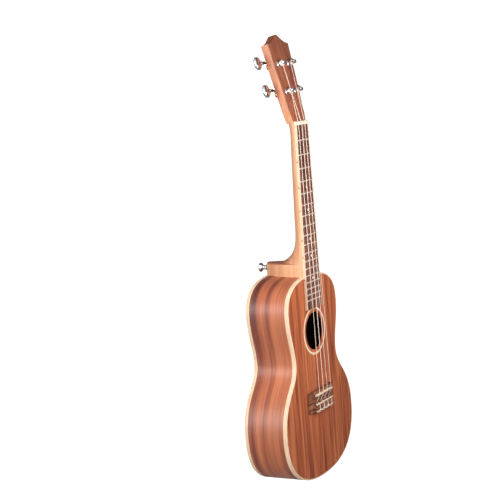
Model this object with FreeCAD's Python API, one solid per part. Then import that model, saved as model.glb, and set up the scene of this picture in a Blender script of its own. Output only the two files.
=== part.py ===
"""Concert ukulele: body, neck, headstock, bridge, strings and four geared tuning machines.

Frame: +Z runs up the neck, the soundboard faces -Y and +X is the treble side. The origin lies on the outer
face of the back plate, on the centre line, where the lower bout is widest.

Most pieces are drawn in a plan frame, as on a luthier's bench: x across, y up the neck, z the height above
the back plate. stand_up() turns that frame into the part's frame. The headstock and its tuning machines are
drawn in a head frame, with z = 0 on the headstock's front face, which place_on_head() leans back.
"""
import FreeCAD, Part
import math
import os

Vector = FreeCAD.Vector
EPS = 0.01

# ---- driving dimensions, in millimetres -------------------------------------------------------------
SCALE_LENGTH = 381.0
BODY_JOINT_FRET = 14
FRET_COUNT = 18

BODY_DEPTH = 66.0
TAIL_Y = -80.0
BODY_TOP_Y = 212.0
LOWER_HALF_WIDTH = 106.5
WAIST_HALF_WIDTH, WAIST_Y = 65.0, 94.0
UPPER_HALF_WIDTH, UPPER_Y = 77.5, 164.0

PLATE = 2.0
SIDE = 2.0
BINDING_DEPTH = 5.5
LINING_WIDTH, LINING_DEPTH = 4.5, 9.0

HOLE_Y, HOLE_RADIUS = 131.0, 27.0
ROSETTE_INNER, ROSETTE_OUTER, ROSETTE_DEPTH = 31.6, 34.2, 1.0

NUT_HALF_WIDTH = 17.8
JOINT_HALF_WIDTH = 22.4
FINGERBOARD = 3.5
FINGERBOARD_PAST_LAST_FRET = 13.0
BOARD_BINDING = 1.5
NUT_THICKNESS = 5.0
NUT_HEIGHT = 5.9
FRET_WIDTH, FRET_HEIGHT = 2.0, 0.9
TANG_WIDTH, TANG_DEPTH = 0.6, 1.6

SHAFT_DEPTH_NUT, SHAFT_DEPTH_HEEL = 12.0, 14.8
HEEL_LEDGE = 17.1
HEEL_BACK_HALF_WIDTH = 13.0
HEEL_PROUD = 2.0

HEAD_ANGLE = 13.0
OVERLAY = 1.2
HEAD_THICKNESS = 11.0
HEAD_FACE_AT_NUT = BODY_DEPTH + 0.4
HEAD_BASE_HALF_WIDTH = 18.0
HEAD_CORNER = (30.0, 111.5)
HEAD_PEAK = 124.5
POSTS = {"g": (-13.2, 43.0), "c": (-15.8, 82.5), "e": (15.8, 82.5), "a": (13.2, 43.0)}

STRING_RADIUS = {"g": 0.36, "c": 0.48, "e": 0.41, "a": 0.31}
STRING_PLACE = {"g": -1.5, "c": -0.5, "e": 0.5, "a": 1.5}
NUT_SPACING, SADDLE_SPACING = 9.6, 12.5
SADDLE_TOP = 10.2

BRIDGE_HALF_WIDTH, BRIDGE_ABOVE, BRIDGE_BELOW = 38.0, 5.5, 24.0
BRIDGE_WING = 3.0
TIE_HALF_WIDTH, TIE_HEIGHT, TIE_LENGTH = 26.5, 9.0, 11.5
SADDLE_THICKNESS = 2.6

TEETH = 16
WHEEL_PITCH_RADIUS = 4.45
WORM_PITCH_RADIUS = 2.1
WHEEL_FACE = 3.0
POST_RADIUS = 3.0
POST_ABOVE = 11.0
WIND_HEIGHT = 4.2
MACHINE_PLATE = 1.0

# ---- places worked out from them --------------------------------------------------------------------
def fret_distance(number):
    return SCALE_LENGTH * (1.0 - 2.0 ** (-number / 12.0))


NUT_Y = BODY_TOP_Y + fret_distance(BODY_JOINT_FRET)
SADDLE_Y = NUT_Y - SCALE_LENGTH
BOARD_END_Y = NUT_Y - fret_distance(FRET_COUNT) - FINGERBOARD_PAST_LAST_FRET
FRONT = BODY_DEPTH
BOARD_TOP = FRONT + FINGERBOARD
HEAD_BACK = -(OVERLAY + HEAD_THICKNESS)
WORM_CENTRE = WHEEL_PITCH_RADIUS + WORM_PITCH_RADIUS
WORM_OUTER = WORM_PITCH_RADIUS + 0.45
WORM_Z = HEAD_BACK - MACHINE_PLATE - 0.25 - WORM_OUTER
WORM_PITCH = 2.0 * math.pi * WHEEL_PITCH_RADIUS / TEETH


def board_half_width(y):
    """Half the fingerboard's full width, binding included."""
    slope = (JOINT_HALF_WIDTH - NUT_HALF_WIDTH) / (NUT_Y - BODY_TOP_Y)
    return NUT_HALF_WIDTH + (NUT_Y - y) * slope


# ---- small helpers ----------------------------------------------------------------------------------
def stand_up(shape):
    """Plan frame to part frame."""
    placed = shape.copy()
    placed.rotate(Vector(0, 0, 0), Vector(1, 0, 0), 90)
    return placed


def head_to_plan(shape):
    """Head frame to plan frame: leans the headstock back about the nut's far edge."""
    placed = shape.copy()
    placed.rotate(Vector(0, 0, 0), Vector(1, 0, 0), -HEAD_ANGLE)
    placed.translate(Vector(0, NUT_Y + NUT_THICKNESS, HEAD_FACE_AT_NUT))
    return placed


def head_point(x, y, z):
    """A head frame point in the plan frame."""
    a = math.radians(HEAD_ANGLE)
    return Vector(
        x,
        NUT_Y + NUT_THICKNESS + y * math.cos(a) + z * math.sin(a),
        HEAD_FACE_AT_NUT - y * math.sin(a) + z * math.cos(a),
    )


def box(x0, x1, y0, y1, z0, z1):
    return Part.makeBox(x1 - x0, y1 - y0, z1 - z0, Vector(x0, y0, z0))


def rod(radius, start, end):
    """A cylinder between two points."""
    along = end - start
    return Part.makeCylinder(radius, along.Length, start, along)


def polygon_prism(points, direction):
    """A prism on a closed polygon of Vectors."""
    wire = Part.makePolygon(list(points) + [points[0]])
    return Part.Face(wire).extrude(direction)


def save(name, *solids):
    """Writes one node, which may hold several separate solids."""
    shape = solids[0] if len(solids) == 1 else Part.makeCompound(list(solids))
    shape.exportStep("parts/" + name + ".step")


# ---- body outline -----------------------------------------------------------------------------------
OUTLINE_STRETCHES = (
    ((0, BODY_TOP_Y), (42, BODY_TOP_Y), (UPPER_HALF_WIDTH, UPPER_Y + 39), (UPPER_HALF_WIDTH, UPPER_Y)),
    ((UPPER_HALF_WIDTH, UPPER_Y), (UPPER_HALF_WIDTH, UPPER_Y - 29),
     (WAIST_HALF_WIDTH, WAIST_Y + 23), (WAIST_HALF_WIDTH, WAIST_Y)),
    ((WAIST_HALF_WIDTH, WAIST_Y), (WAIST_HALF_WIDTH, WAIST_Y - 32),
     (LOWER_HALF_WIDTH, 57), (LOWER_HALF_WIDTH, 0)),
    ((LOWER_HALF_WIDTH, 0), (LOWER_HALF_WIDTH, -65), (53.5, TAIL_Y), (0, TAIL_Y)),
)
SAMPLES_PER_STRETCH = 9


def bezier(poles, t):
    """Point and direction at t on a plane cubic."""
    a, b, c, d = poles
    s = 1.0 - t
    point = [s**3 * a[i] + 3 * s * s * t * b[i] + 3 * s * t * t * c[i] + t**3 * d[i] for i in (0, 1)]
    along = [3 * (s * s * (b[i] - a[i]) + 2 * s * t * (c[i] - b[i]) + t * t * (d[i] - c[i])) for i in (0, 1)]
    return point, along


def half_outline(inset):
    """Points down the treble side from the top centre to the tail, moved inwards by inset."""
    points = []
    for number, poles in enumerate(OUTLINE_STRETCHES):
        for k in range(SAMPLES_PER_STRETCH + (number == len(OUTLINE_STRETCHES) - 1)):
            point, along = bezier(poles, k / SAMPLES_PER_STRETCH)
            length = math.hypot(along[0], along[1])
            points.append((point[0] + inset * along[1] / length, point[1] - inset * along[0] / length))
    points[0] = (0.0, points[0][1])
    points[-1] = (0.0, points[-1][1])
    return points


def outline_edge(inset, height, side):
    """One half of the outline as a smooth curve; side is +1 for treble and -1 for bass."""
    curve = Part.BSplineCurve()
    curve.interpolate(
        Points=[Vector(side * x, y, height) for x, y in half_outline(inset)],
        InitialTangent=Vector(side, 0, 0),
        FinalTangent=Vector(-side, 0, 0),
    )
    return curve.toShape()


def plate(inset, low, high):
    """A slab with the body's outline."""
    wire = Part.Wire([outline_edge(inset, low, 1), outline_edge(inset, low, -1)])
    return Part.Face(wire).extrude(Vector(0, 0, high - low))


def band(outer_inset, inner_inset, low, high):
    """A closed band that follows the body's outline."""
    return plate(outer_inset, low, high).cut(plate(inner_inset, low - 1, high + 1))


def half_space(side):
    """A box that holds one side of the centre line."""
    return box(0, 200, -200, 400, -50, 150) if side > 0 else box(-200, 0, -200, 400, -50, 150)


# ---- body pieces ------------------------------------------------------------------------------------
NECK_BLOCK_HALF, NECK_BLOCK_LONG = 28.0, 22.0
TAIL_BLOCK_HALF, TAIL_BLOCK_LONG = 26.0, 14.0
DOWEL_RADIUS, DOWEL_REACH, DOWEL_INTO_NECK = 4.0, 16.0, 7.0
DOWEL_HEIGHTS = (20.0, 42.0)


def neck_dowels():
    """Two round pegs through the rim that hold the neck to its block."""
    low_y = BODY_TOP_Y - DOWEL_REACH
    high_y = BODY_TOP_Y + DOWEL_INTO_NECK
    return [rod(DOWEL_RADIUS, Vector(0, low_y, z), Vector(0, high_y, z)) for z in DOWEL_HEIGHTS]


def build_soundboard():
    board = plate(SIDE, FRONT - PLATE, FRONT)
    board = board.cut(Part.makeCylinder(HOLE_RADIUS, PLATE + 2, Vector(0, HOLE_Y, FRONT - PLATE - 1)))
    groove = rosette_ring()
    return board.cut(groove)


def rosette_ring():
    base = Vector(0, HOLE_Y, FRONT - ROSETTE_DEPTH)
    outer = Part.makeCylinder(ROSETTE_OUTER, ROSETTE_DEPTH, base)
    return outer.cut(Part.makeCylinder(ROSETTE_INNER, ROSETTE_DEPTH + 1, base))


def build_sides():
    ring = band(0, SIDE, BINDING_DEPTH, FRONT - BINDING_DEPTH)
    for dowel in neck_dowels():
        ring = ring.cut(dowel)
    return ring.common(half_space(-1)), ring.common(half_space(1))


def rounded_band(low, high, outer_face):
    """A binding strip; its outer corner is rounded over."""
    strip = band(0, SIDE, low, high)
    rim = [
        e for e in strip.Edges
        if abs(e.BoundBox.ZMin - outer_face) < EPS and abs(e.BoundBox.ZMax - outer_face) < EPS
        and e.BoundBox.XLength > LOWER_HALF_WIDTH - 1.0
    ]
    return strip.makeFillet(0.8, rim)


def block(half_width, low_y, high_y):
    """A glue block that fits the inside of the rim."""
    inner = plate(SIDE, PLATE, FRONT - PLATE)
    return inner.common(box(-half_width, half_width, low_y, high_y, 0, FRONT))


def build_blocks():
    neck_block = block(NECK_BLOCK_HALF, BODY_TOP_Y - SIDE - NECK_BLOCK_LONG, BODY_TOP_Y)
    for dowel in neck_dowels():
        neck_block = neck_block.cut(dowel)
    return neck_block, block(TAIL_BLOCK_HALF, TAIL_Y, TAIL_Y + SIDE + TAIL_BLOCK_LONG)


def build_linings():
    """Four glue strips, bass and treble, front and back, that stop at the blocks."""
    strips = []
    for low in (PLATE, FRONT - PLATE - LINING_DEPTH):
        ring = band(SIDE, SIDE + LINING_WIDTH, low, low + LINING_DEPTH)
        gap = 0.2
        ring = ring.cut(box(-NECK_BLOCK_HALF - gap, NECK_BLOCK_HALF + gap, UPPER_Y, 300, 0, FRONT))
        ring = ring.cut(box(-TAIL_BLOCK_HALF - gap, TAIL_BLOCK_HALF + gap, -200, 0, 0, FRONT))
        strips += ring.Solids
    return strips


def brace(centre, half_length, angle, width, height, base, up):
    """A bar with swept-down ends, glued at height base and standing towards up (+1 or -1)."""
    tail = min(25.0, 0.4 * half_length)
    profile = [
        Vector(-half_length, 0, 0),
        Vector(half_length, 0, 0),
        Vector(half_length, 0, up * 1.5),
        Vector(half_length - tail, 0, up * height),
        Vector(-half_length + tail, 0, up * height),
        Vector(-half_length, 0, up * 1.5),
    ]
    bar = polygon_prism(profile, Vector(0, width, 0))
    bar.translate(Vector(0, -width / 2, 0))
    bar.rotate(Vector(0, 0, 0), Vector(0, 0, 1), angle)
    bar.translate(Vector(centre[0], centre[1], base))
    return bar


def build_braces():
    top = FRONT - PLATE
    patch_thickness = 1.5
    across = [
        brace((0, HOLE_Y + 38), 66, 0, 7, 9, top, -1),
        brace((0, HOLE_Y - 38), 57, 0, 7, 9, top, -1),
    ]
    fan_length = 37.0
    fan_y = SADDLE_Y - 58
    fans = [brace((x, fan_y), fan_length / 2, 90 - x * 0.5, 5, 6, top, -1) for x in (-32, 0, 32)]
    patch = box(-40, 40, SADDLE_Y - 34, SADDLE_Y + 16, top - patch_thickness, top)
    back = [
        brace((0, y), half, 0, 8, 10, PLATE, 1) for y, half in ((172, 66), (92, 55), (0, 93))
    ]
    return across + fans, patch, back


# ---- neck -------------------------------------------------------------------------------------------
SHAFT_SHOULDER, SHAFT_BACK = 0.65, 0.62
HEEL_SHOULDER = 0.53


def shaft_section(y, half_width, depth, squareness=SHAFT_BACK):
    """A D shaped section at height y up the neck, flat on the fingerboard side."""
    shoulder = FRONT - depth * (SHAFT_SHOULDER if squareness < 0.9 else squareness)
    a = Vector(-half_width, y, FRONT)
    b = Vector(half_width, y, FRONT)
    back = Vector(0, y, FRONT - depth)
    right = Part.BezierCurve()
    right.setPoles([b, Vector(half_width, y, shoulder), Vector(half_width * squareness, y, back.z), back])
    left = Part.BezierCurve()
    left.setPoles([back, Vector(-half_width * squareness, y, back.z), Vector(-half_width, y, shoulder), a])
    return Part.Wire([Part.makeLine(a, b), right.toShape(), left.toShape()])


HOLLOW_KNEE = ((51.0, 0.0), (42.5, 0.0), (25.0, 7.3), (18.7, 22.9))
HOLLOW_RISE = ((18.7, 22.9), (13.2, 36.6), (15.4, 55.5), (14.8, 69.1))
HEEL_LIP = 1.2
HEEL_CROWN = 5.0
HEEL_CREST_SHARE = 0.3


def heel_section(y, depth, share=1.0):
    """The neck's section anywhere on the heel: a D that narrows towards the back as it gets deeper.

    Share scales the back's width, which rounds the heel's ledge over from side to side. Past the hollow the
    section's back end also rises, up to HEEL_LIP.
    """
    full_depth = FRONT + HEEL_PROUD
    heelness = (depth - SHAFT_DEPTH_HEEL) / (full_depth - SHAFT_DEPTH_HEEL)
    half_width = board_half_width(y)
    shoulder = FRONT - depth * (SHAFT_SHOULDER * (1 - heelness) + HEEL_SHOULDER * heelness)
    back_width = share * (SHAFT_BACK * half_width * (1 - heelness) + HEEL_BACK_HALF_WIDTH * heelness)
    hollow_start = HOLLOW_KNEE[0][0]
    rise = HEEL_LIP * max(0.0, (depth - hollow_start) / (full_depth - hollow_start)) if share < 1.0 else 0.0
    back = Vector(0, y + rise, FRONT - depth)
    curves = []
    for side in (1, -1):
        curve = Part.BezierCurve()
        poles = [Vector(side * half_width, y, FRONT), Vector(side * half_width, y, shoulder),
                 Vector(side * back_width, back.y, back.z), back]
        curve.setPoles(poles if side > 0 else poles[::-1])
        curves.append(curve.toShape())
    front = Part.makeLine(Vector(-half_width, y, FRONT), Vector(half_width, y, FRONT))
    return Part.Wire([front] + curves)


def heel_sections():
    """Sections from inside the body up the heel, round its hollow and on to the plain shaft."""
    ledge = BODY_TOP_Y + HEEL_LEDGE
    full_depth = FRONT + HEEL_PROUD
    corner = 1.5
    step = 0.3
    crest = ledge - step
    stations = [(full_depth, BODY_TOP_Y - 4, 1.0), (full_depth, crest - HEEL_CROWN, 1.0)]
    for degrees in (22.5, 45.0, 67.5, 90.0):
        sine, cosine = math.sin(math.radians(degrees)), math.cos(math.radians(degrees))
        share = HEEL_CREST_SHARE + (1 - HEEL_CREST_SHARE) * cosine
        stations.append((full_depth - corner * (1 - cosine), crest - HEEL_CROWN * (1 - sine), share))
    hollow_start, shaft_depth = HOLLOW_KNEE[0][0], HOLLOW_KNEE[-1][0]
    for poles, steps in ((HOLLOW_KNEE, 7), (HOLLOW_RISE, 4)):
        for depth, above in curve_points(poles, steps):
            shaftness = min(1.0, (hollow_start - depth) / (hollow_start - shaft_depth))
            share = HEEL_CREST_SHARE + (1 - HEEL_CREST_SHARE) * shaftness
            stations.append((depth, ledge + above, share))
    stations.append((HOLLOW_RISE[-1][0], ledge + HOLLOW_RISE[-1][1], 1.0))
    return [heel_section(y, depth, share) for depth, y, share in stations]


def curve_points(poles, steps):
    """Points along a plane cubic, leaving out its last one."""
    return [bezier(poles, k / steps)[0] for k in range(steps)]


def head_outline_points():
    """The treble half of the headstock's outline, from the nut up to the peak, as curve poles."""
    x, y = HEAD_CORNER
    base = Vector(HEAD_BASE_HALF_WIDTH, 0, 0)
    flank = [base, Vector(22.5, 16, 0), Vector(26.0, 60, 0), Vector(x, y, 0)]
    shoulder = Vector(13.5, y + 1.5, 0)
    brow = Vector(8.0, HEAD_PEAK - 2.5, 0)
    crown = [Vector(x, y, 0), shoulder, brow, Vector(2.2, HEAD_PEAK - 0.3, 0)]
    return flank, crown


def head_slab(low, high):
    """The headstock's outline as a slab in the head frame, from height low to high."""
    flank, crown = head_outline_points()
    edges = []
    for side in (1, -1):
        for poles in (flank, crown):
            curve = Part.BezierCurve()
            curve.setPoles([Vector(side * p.x, p.y, low) for p in poles])
            edges.append(curve.toShape())
    tip = Vector(crown[-1].x, crown[-1].y, low)
    top = Part.Arc(tip, Vector(0, HEAD_PEAK, low), Vector(-tip.x, tip.y, low)).toShape()
    half = HEAD_BASE_HALF_WIDTH
    base = Part.makeLine(Vector(-half, 0, low), Vector(half, 0, low))
    wire = Part.Wire(Part.sortEdges(edges + [top, base])[0])
    return Part.Face(wire).extrude(Vector(0, 0, high - low))


def head_blend():
    """The throat behind the nut, where the round shaft turns into the square-backed headstock."""
    low_y = NUT_Y - 14.0
    high_y = NUT_Y + NUT_THICKNESS + 6.0
    return Part.makeLoft(
        [
            shaft_section(low_y, NUT_HALF_WIDTH - 0.4, SHAFT_DEPTH_NUT - 0.2),
            shaft_section(high_y, NUT_HALF_WIDTH + 0.6, SHAFT_DEPTH_NUT, 0.97),
        ],
        True,
        True,
    ).common(box(-60, 60, low_y, high_y, 0, FRONT - 1.9))


def build_neck():
    """Shaft, heel and headstock, carved from one piece of wood."""
    top_y = NUT_Y + NUT_THICKNESS
    end_section = shaft_section(top_y, NUT_HALF_WIDTH, SHAFT_DEPTH_NUT)
    wood = Part.makeLoft(heel_sections() + [end_section], True, True)
    wood = wood.cut(plate(0, -5, FRONT + 5))
    wood = wood.fuse(head_to_plan(head_slab(HEAD_BACK, -OVERLAY))).fuse(head_blend()).removeSplitter()
    for x, y in POSTS.values():
        counterbore = Part.makeCylinder(BUSH_RADIUS, BUSH_LENGTH + 1, Vector(x, y, -BUSH_LENGTH))
        wood = wood.cut(head_to_plan(counterbore))
        wood = wood.cut(head_to_plan(Part.makeCylinder(POST_RADIUS + 0.3, 40, Vector(x, y, -35))))
        for screw in mounting_screws(x, y):
            wood = wood.cut(head_to_plan(screw))
    for dowel in neck_dowels():
        wood = wood.cut(dowel)
    return wood.cut(strap_screw()).cut(nut_space()).cut(build_overlay())


def nut_space():
    """The room above the neck that the nut fills."""
    return box(-60, 60, NUT_Y, NUT_Y + NUT_THICKNESS, FRONT, FRONT + NUT_HEIGHT)


def build_overlay():
    veneer = head_slab(-OVERLAY, 0)
    for x, y in POSTS.values():
        veneer = veneer.cut(Part.makeCylinder(BUSH_RADIUS, 4, Vector(x, y, -2)))
    return head_to_plan(veneer).cut(nut_space())


# ---- fingerboard ------------------------------------------------------------------------------------
def tapered_slab(inset, low_y, high_y, low, high):
    """A slab that follows the fingerboard's taper."""
    points = [
        Vector(-board_half_width(high_y) + inset, high_y, low),
        Vector(board_half_width(high_y) - inset, high_y, low),
        Vector(board_half_width(low_y) - inset, low_y, low),
        Vector(-board_half_width(low_y) + inset, low_y, low),
    ]
    return polygon_prism(points, Vector(0, 0, high - low))


FACE_DOT_RADIUS, SIDE_DOT_RADIUS = 2.0, 1.0
FACE_DOTS = (5, 7, 10, 12, 15)
SIDE_DOTS = (3, 5, 7, 10, 12, 15)


def dot_y(fret):
    return NUT_Y - (fret_distance(fret) + fret_distance(fret - 1)) / 2


def face_dot(fret):
    return Part.makeCylinder(FACE_DOT_RADIUS, 1.0, Vector(0, dot_y(fret), BOARD_TOP - 1.0))


def side_dot(fret):
    y = dot_y(fret)
    x = -board_half_width(y)
    return rod(SIDE_DOT_RADIUS, Vector(x - 1, y, BOARD_TOP - 2.4), Vector(x + 1.2, y, BOARD_TOP - 2.4))


def build_fingerboard():
    whole = tapered_slab(0, BOARD_END_Y, NUT_Y, FRONT, BOARD_TOP)
    wood = tapered_slab(BOARD_BINDING, BOARD_END_Y, NUT_Y, FRONT, BOARD_TOP)
    binding = whole.cut(wood)
    for number in FACE_DOTS:
        wood = wood.cut(face_dot(number))
    side_dots = [side_dot(number).common(binding) for number in SIDE_DOTS]
    for number in SIDE_DOTS:
        binding = binding.cut(side_dot(number))
    frets = []
    for number in range(1, FRET_COUNT + 1):
        y = NUT_Y - fret_distance(number)
        half = board_half_width(y) - BOARD_BINDING
        slot = box(-half, half, y - TANG_WIDTH / 2, y + TANG_WIDTH / 2, BOARD_TOP - TANG_DEPTH, BOARD_TOP + 1)
        wood = wood.cut(slot)
        frets.append(fret_wire(y))
    return wood, binding.Solids, frets, [face_dot(number) for number in FACE_DOTS], side_dots


def fret_wire(y):
    """A fret: a domed crown as wide as the board, on a tang that stops at the binding."""
    half = board_half_width(y) - 0.35
    sag = FRET_HEIGHT
    chord = FRET_WIDTH / 2
    left = Vector(-half, y - chord, BOARD_TOP)
    right = Vector(-half, y + chord, BOARD_TOP)
    crown = Part.Arc(left, Vector(-half, y, BOARD_TOP + sag), right).toShape()
    face = Part.Face(Part.Wire([crown, Part.makeLine(right, left)]))
    bar = face.extrude(Vector(2 * half, 0, 0))
    ends = half - 0.9
    bevel = polygon_prism(
        [Vector(-half, y - 3, BOARD_TOP), Vector(half, y - 3, BOARD_TOP),
         Vector(ends, y - 3, BOARD_TOP + 1.6), Vector(-ends, y - 3, BOARD_TOP + 1.6)],
        Vector(0, 6, 0),
    )
    tang_half = half + 0.35 - BOARD_BINDING - 0.02
    tang = box(-tang_half, tang_half, y - TANG_WIDTH / 2 + 0.02, y + TANG_WIDTH / 2 - 0.02,
               BOARD_TOP - TANG_DEPTH + 0.02, BOARD_TOP + 0.2)
    return bar.common(bevel).fuse(tang).removeSplitter()


# ---- strings, nut, bridge ---------------------------------------------------------------------------
def string_x(name, spacing):
    return STRING_PLACE[name] * spacing


def nut_bottom_of_string():
    return BOARD_TOP + FRET_HEIGHT + 0.5


def build_nut():
    half = NUT_HALF_WIDTH - 0.1
    top = FRONT + NUT_HEIGHT
    profile = [
        Vector(-half, NUT_Y, FRONT),
        Vector(-half, NUT_Y + NUT_THICKNESS, FRONT),
        Vector(-half, NUT_Y + NUT_THICKNESS, top - 1.6),
        Vector(-half, NUT_Y + NUT_THICKNESS - 1.8, top - 0.3),
        Vector(-half, NUT_Y + NUT_THICKNESS - 3.2, top),
        Vector(-half, NUT_Y, top),
    ]
    nut = polygon_prism(profile, Vector(2 * half, 0, 0))
    for name, radius in STRING_RADIUS.items():
        below, peak, beyond = nut_crossing(name)
        for start, end in ((below, peak), (peak, beyond)):
            nut = nut.cut(rod(radius + 0.03, start, end)).cut(slot_channel(start, end, radius + 0.03))
        nut = nut.cut(Part.makeSphere(radius + 0.03, peak))
    return nut


def slot_channel(start, end, radius):
    """The open part of a string slot, above the string's centre line."""
    along = end - start
    channel = box(-radius, radius, 0, along.Length, 0, 4)
    pitch = math.degrees(math.atan2(along.z, math.hypot(along.x, along.y)))
    yaw = math.degrees(math.atan2(-along.x, along.y))
    channel.rotate(Vector(0, 0, 0), Vector(1, 0, 0), pitch)
    channel.rotate(Vector(0, 0, 0), Vector(0, 0, 1), yaw)
    channel.translate(start)
    return channel


def nut_crossing(name):
    """Points on the string's centre line: before the nut, on top of it, and on the way to the post."""
    radius = STRING_RADIUS[name]
    peak = Vector(string_x(name, NUT_SPACING), NUT_Y + 1.5, nut_bottom_of_string() + radius)
    below = peak + (saddle_point(name) - peak) * (6.0 / SCALE_LENGTH)
    towards_post = wind_tangent(name) - peak
    return below, peak, peak + towards_post * (12.0 / towards_post.Length)


def saddle_point(name):
    radius = STRING_RADIUS[name]
    return Vector(string_x(name, SADDLE_SPACING), SADDLE_Y, FRONT + SADDLE_TOP + radius + 0.02)


def wind_tangent(name):
    """Where the string meets its winding, on the inner side of the post."""
    x, y = POSTS[name]
    inward = -1 if x > 0 else 1
    return head_point(x + inward * (POST_RADIUS + STRING_RADIUS[name]), y, WIND_HEIGHT)


TIE_FRONT = SADDLE_Y - 12.0
TIE_BACK = TIE_FRONT - TIE_LENGTH
TIE_HOLE_HEIGHT = 5.2


def string_path(name):
    """Centre line from the winding over nut and saddle, through the tie block, and back over it."""
    radius = STRING_RADIUS[name]
    tangent = wind_tangent(name)
    peak = nut_crossing(name)[1]
    saddle = saddle_point(name)
    gap = math.sqrt((POST_RADIUS + 3 * radius + 0.25) ** 2 - (POST_RADIUS + radius) ** 2)
    start = tangent + (peak - tangent) * (gap / (peak - tangent).Length)
    x = saddle.x
    hole = FRONT + TIE_HOLE_HEIGHT
    top = FRONT + TIE_HEIGHT + radius + 0.02
    loop_x = x + 1.6
    return [
        start,
        peak,
        saddle,
        Vector(x, TIE_FRONT + 1.0, hole),
        Vector(x, TIE_BACK - 0.3, hole),
        Vector(x, TIE_BACK - radius - 0.4, hole + 0.8),
        Vector(loop_x, TIE_BACK - radius - 0.1, top),
        Vector(loop_x, TIE_FRONT + radius + 0.3, top),
        Vector(loop_x, TIE_FRONT + radius + 0.3, top - 1.0),
    ]


def build_string(name):
    """A round string along its path, mitred where the path bends."""
    points = string_path(name)
    ring = Part.Wire(Part.Circle(points[0], points[1] - points[0], STRING_RADIUS[name]).toShape())
    mitred = 1
    return Part.makePolygon(points).makePipeShell([ring], True, False, mitred)


def build_wind(name):
    """Three turns of string on the post, as closed rings."""
    radius = STRING_RADIUS[name]
    x, y = POSTS[name]
    rings = []
    for turn in (-1, 0, 1):
        centre = Vector(x, y, WIND_HEIGHT + turn * (2 * radius + 0.02))
        rings.append(head_to_plan(Part.makeTorus(POST_RADIUS + radius + 0.01, radius, centre)))
    return rings


def build_bridge():
    top = SADDLE_Y + BRIDGE_ABOVE
    bottom = SADDLE_Y - BRIDGE_BELOW
    wings = box(-BRIDGE_HALF_WIDTH, BRIDGE_HALF_WIDTH, bottom, top, FRONT, FRONT + BRIDGE_WING)
    corners = [e for e in wings.Edges if e.BoundBox.ZLength > BRIDGE_WING - EPS]
    wings = wings.makeFillet(3.0, corners)
    x = -TIE_HALF_WIDTH
    profile = [
        Vector(x, top, FRONT + BRIDGE_WING - 0.5),
        Vector(x, top, FRONT + BRIDGE_WING + 0.8),
        Vector(x, SADDLE_Y + 2.6, FRONT + 6.6),
        Vector(x, SADDLE_Y - 3.2, FRONT + 6.6),
        Vector(x, SADDLE_Y - 6.0, FRONT + 4.2),
        Vector(x, TIE_FRONT, FRONT + 3.6),
        Vector(x, TIE_FRONT, FRONT + TIE_HEIGHT),
        Vector(x, TIE_BACK, FRONT + TIE_HEIGHT),
        Vector(x, TIE_BACK, FRONT + BRIDGE_WING - 0.5),
    ]
    bridge = wings.fuse(polygon_prism(profile, Vector(2 * TIE_HALF_WIDTH, 0, 0))).removeSplitter()
    bridge = bridge.cut(saddle_blank(FRONT + 2.6, FRONT + 20))
    for strip in tie_strips():
        bridge = bridge.cut(strip)
    for name, radius in STRING_RADIUS.items():
        x = string_x(name, SADDLE_SPACING)
        hole = FRONT + TIE_HOLE_HEIGHT
        bridge = bridge.cut(rod(radius + 0.15, Vector(x, TIE_BACK - 3, hole), Vector(x, TIE_FRONT + 2, hole)))
    return bridge


def saddle_blank(low, high):
    half = SADDLE_THICKNESS / 2
    return box(-TIE_HALF_WIDTH + 1, TIE_HALF_WIDTH - 1, SADDLE_Y - half, SADDLE_Y + half, low, high)


def build_saddle():
    """The saddle's top slopes away behind the line the strings break over."""
    top = FRONT + SADDLE_TOP
    x = -TIE_HALF_WIDTH + 1
    half = SADDLE_THICKNESS / 2
    profile = [
        Vector(x, SADDLE_Y - half, FRONT + 2.6),
        Vector(x, SADDLE_Y + half, FRONT + 2.6),
        Vector(x, SADDLE_Y + half, top - 0.5),
        Vector(x, SADDLE_Y + 0.8, top),
        Vector(x, SADDLE_Y + 0.3, top),
        Vector(x, SADDLE_Y - half, top - 1.1),
    ]
    return polygon_prism(profile, Vector(-2 * x, 0, 0))


def tie_strips():
    """Two light strips let into the tie block's upper corners."""
    strip = 1.6
    high = FRONT + TIE_HEIGHT
    return [
        box(-TIE_HALF_WIDTH, TIE_HALF_WIDTH, y, y + strip, high - strip, high)
        for y in (TIE_FRONT - strip, TIE_BACK)
    ]


# ---- strap button -----------------------------------------------------------------------------------
STRAP_Y = BODY_TOP_Y + 9.6
STRAP_RIM, STRAP_LENGTH = 6.6, 12.5
STRAP_SHANK, STRAP_SCREW_DEPTH = 1.6, 18.0


def strap_screw():
    """The screw's shank below the heel's surface."""
    return Part.makeCylinder(STRAP_SHANK, STRAP_SCREW_DEPTH, Vector(0, STRAP_Y, -HEEL_PROUD))


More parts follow.
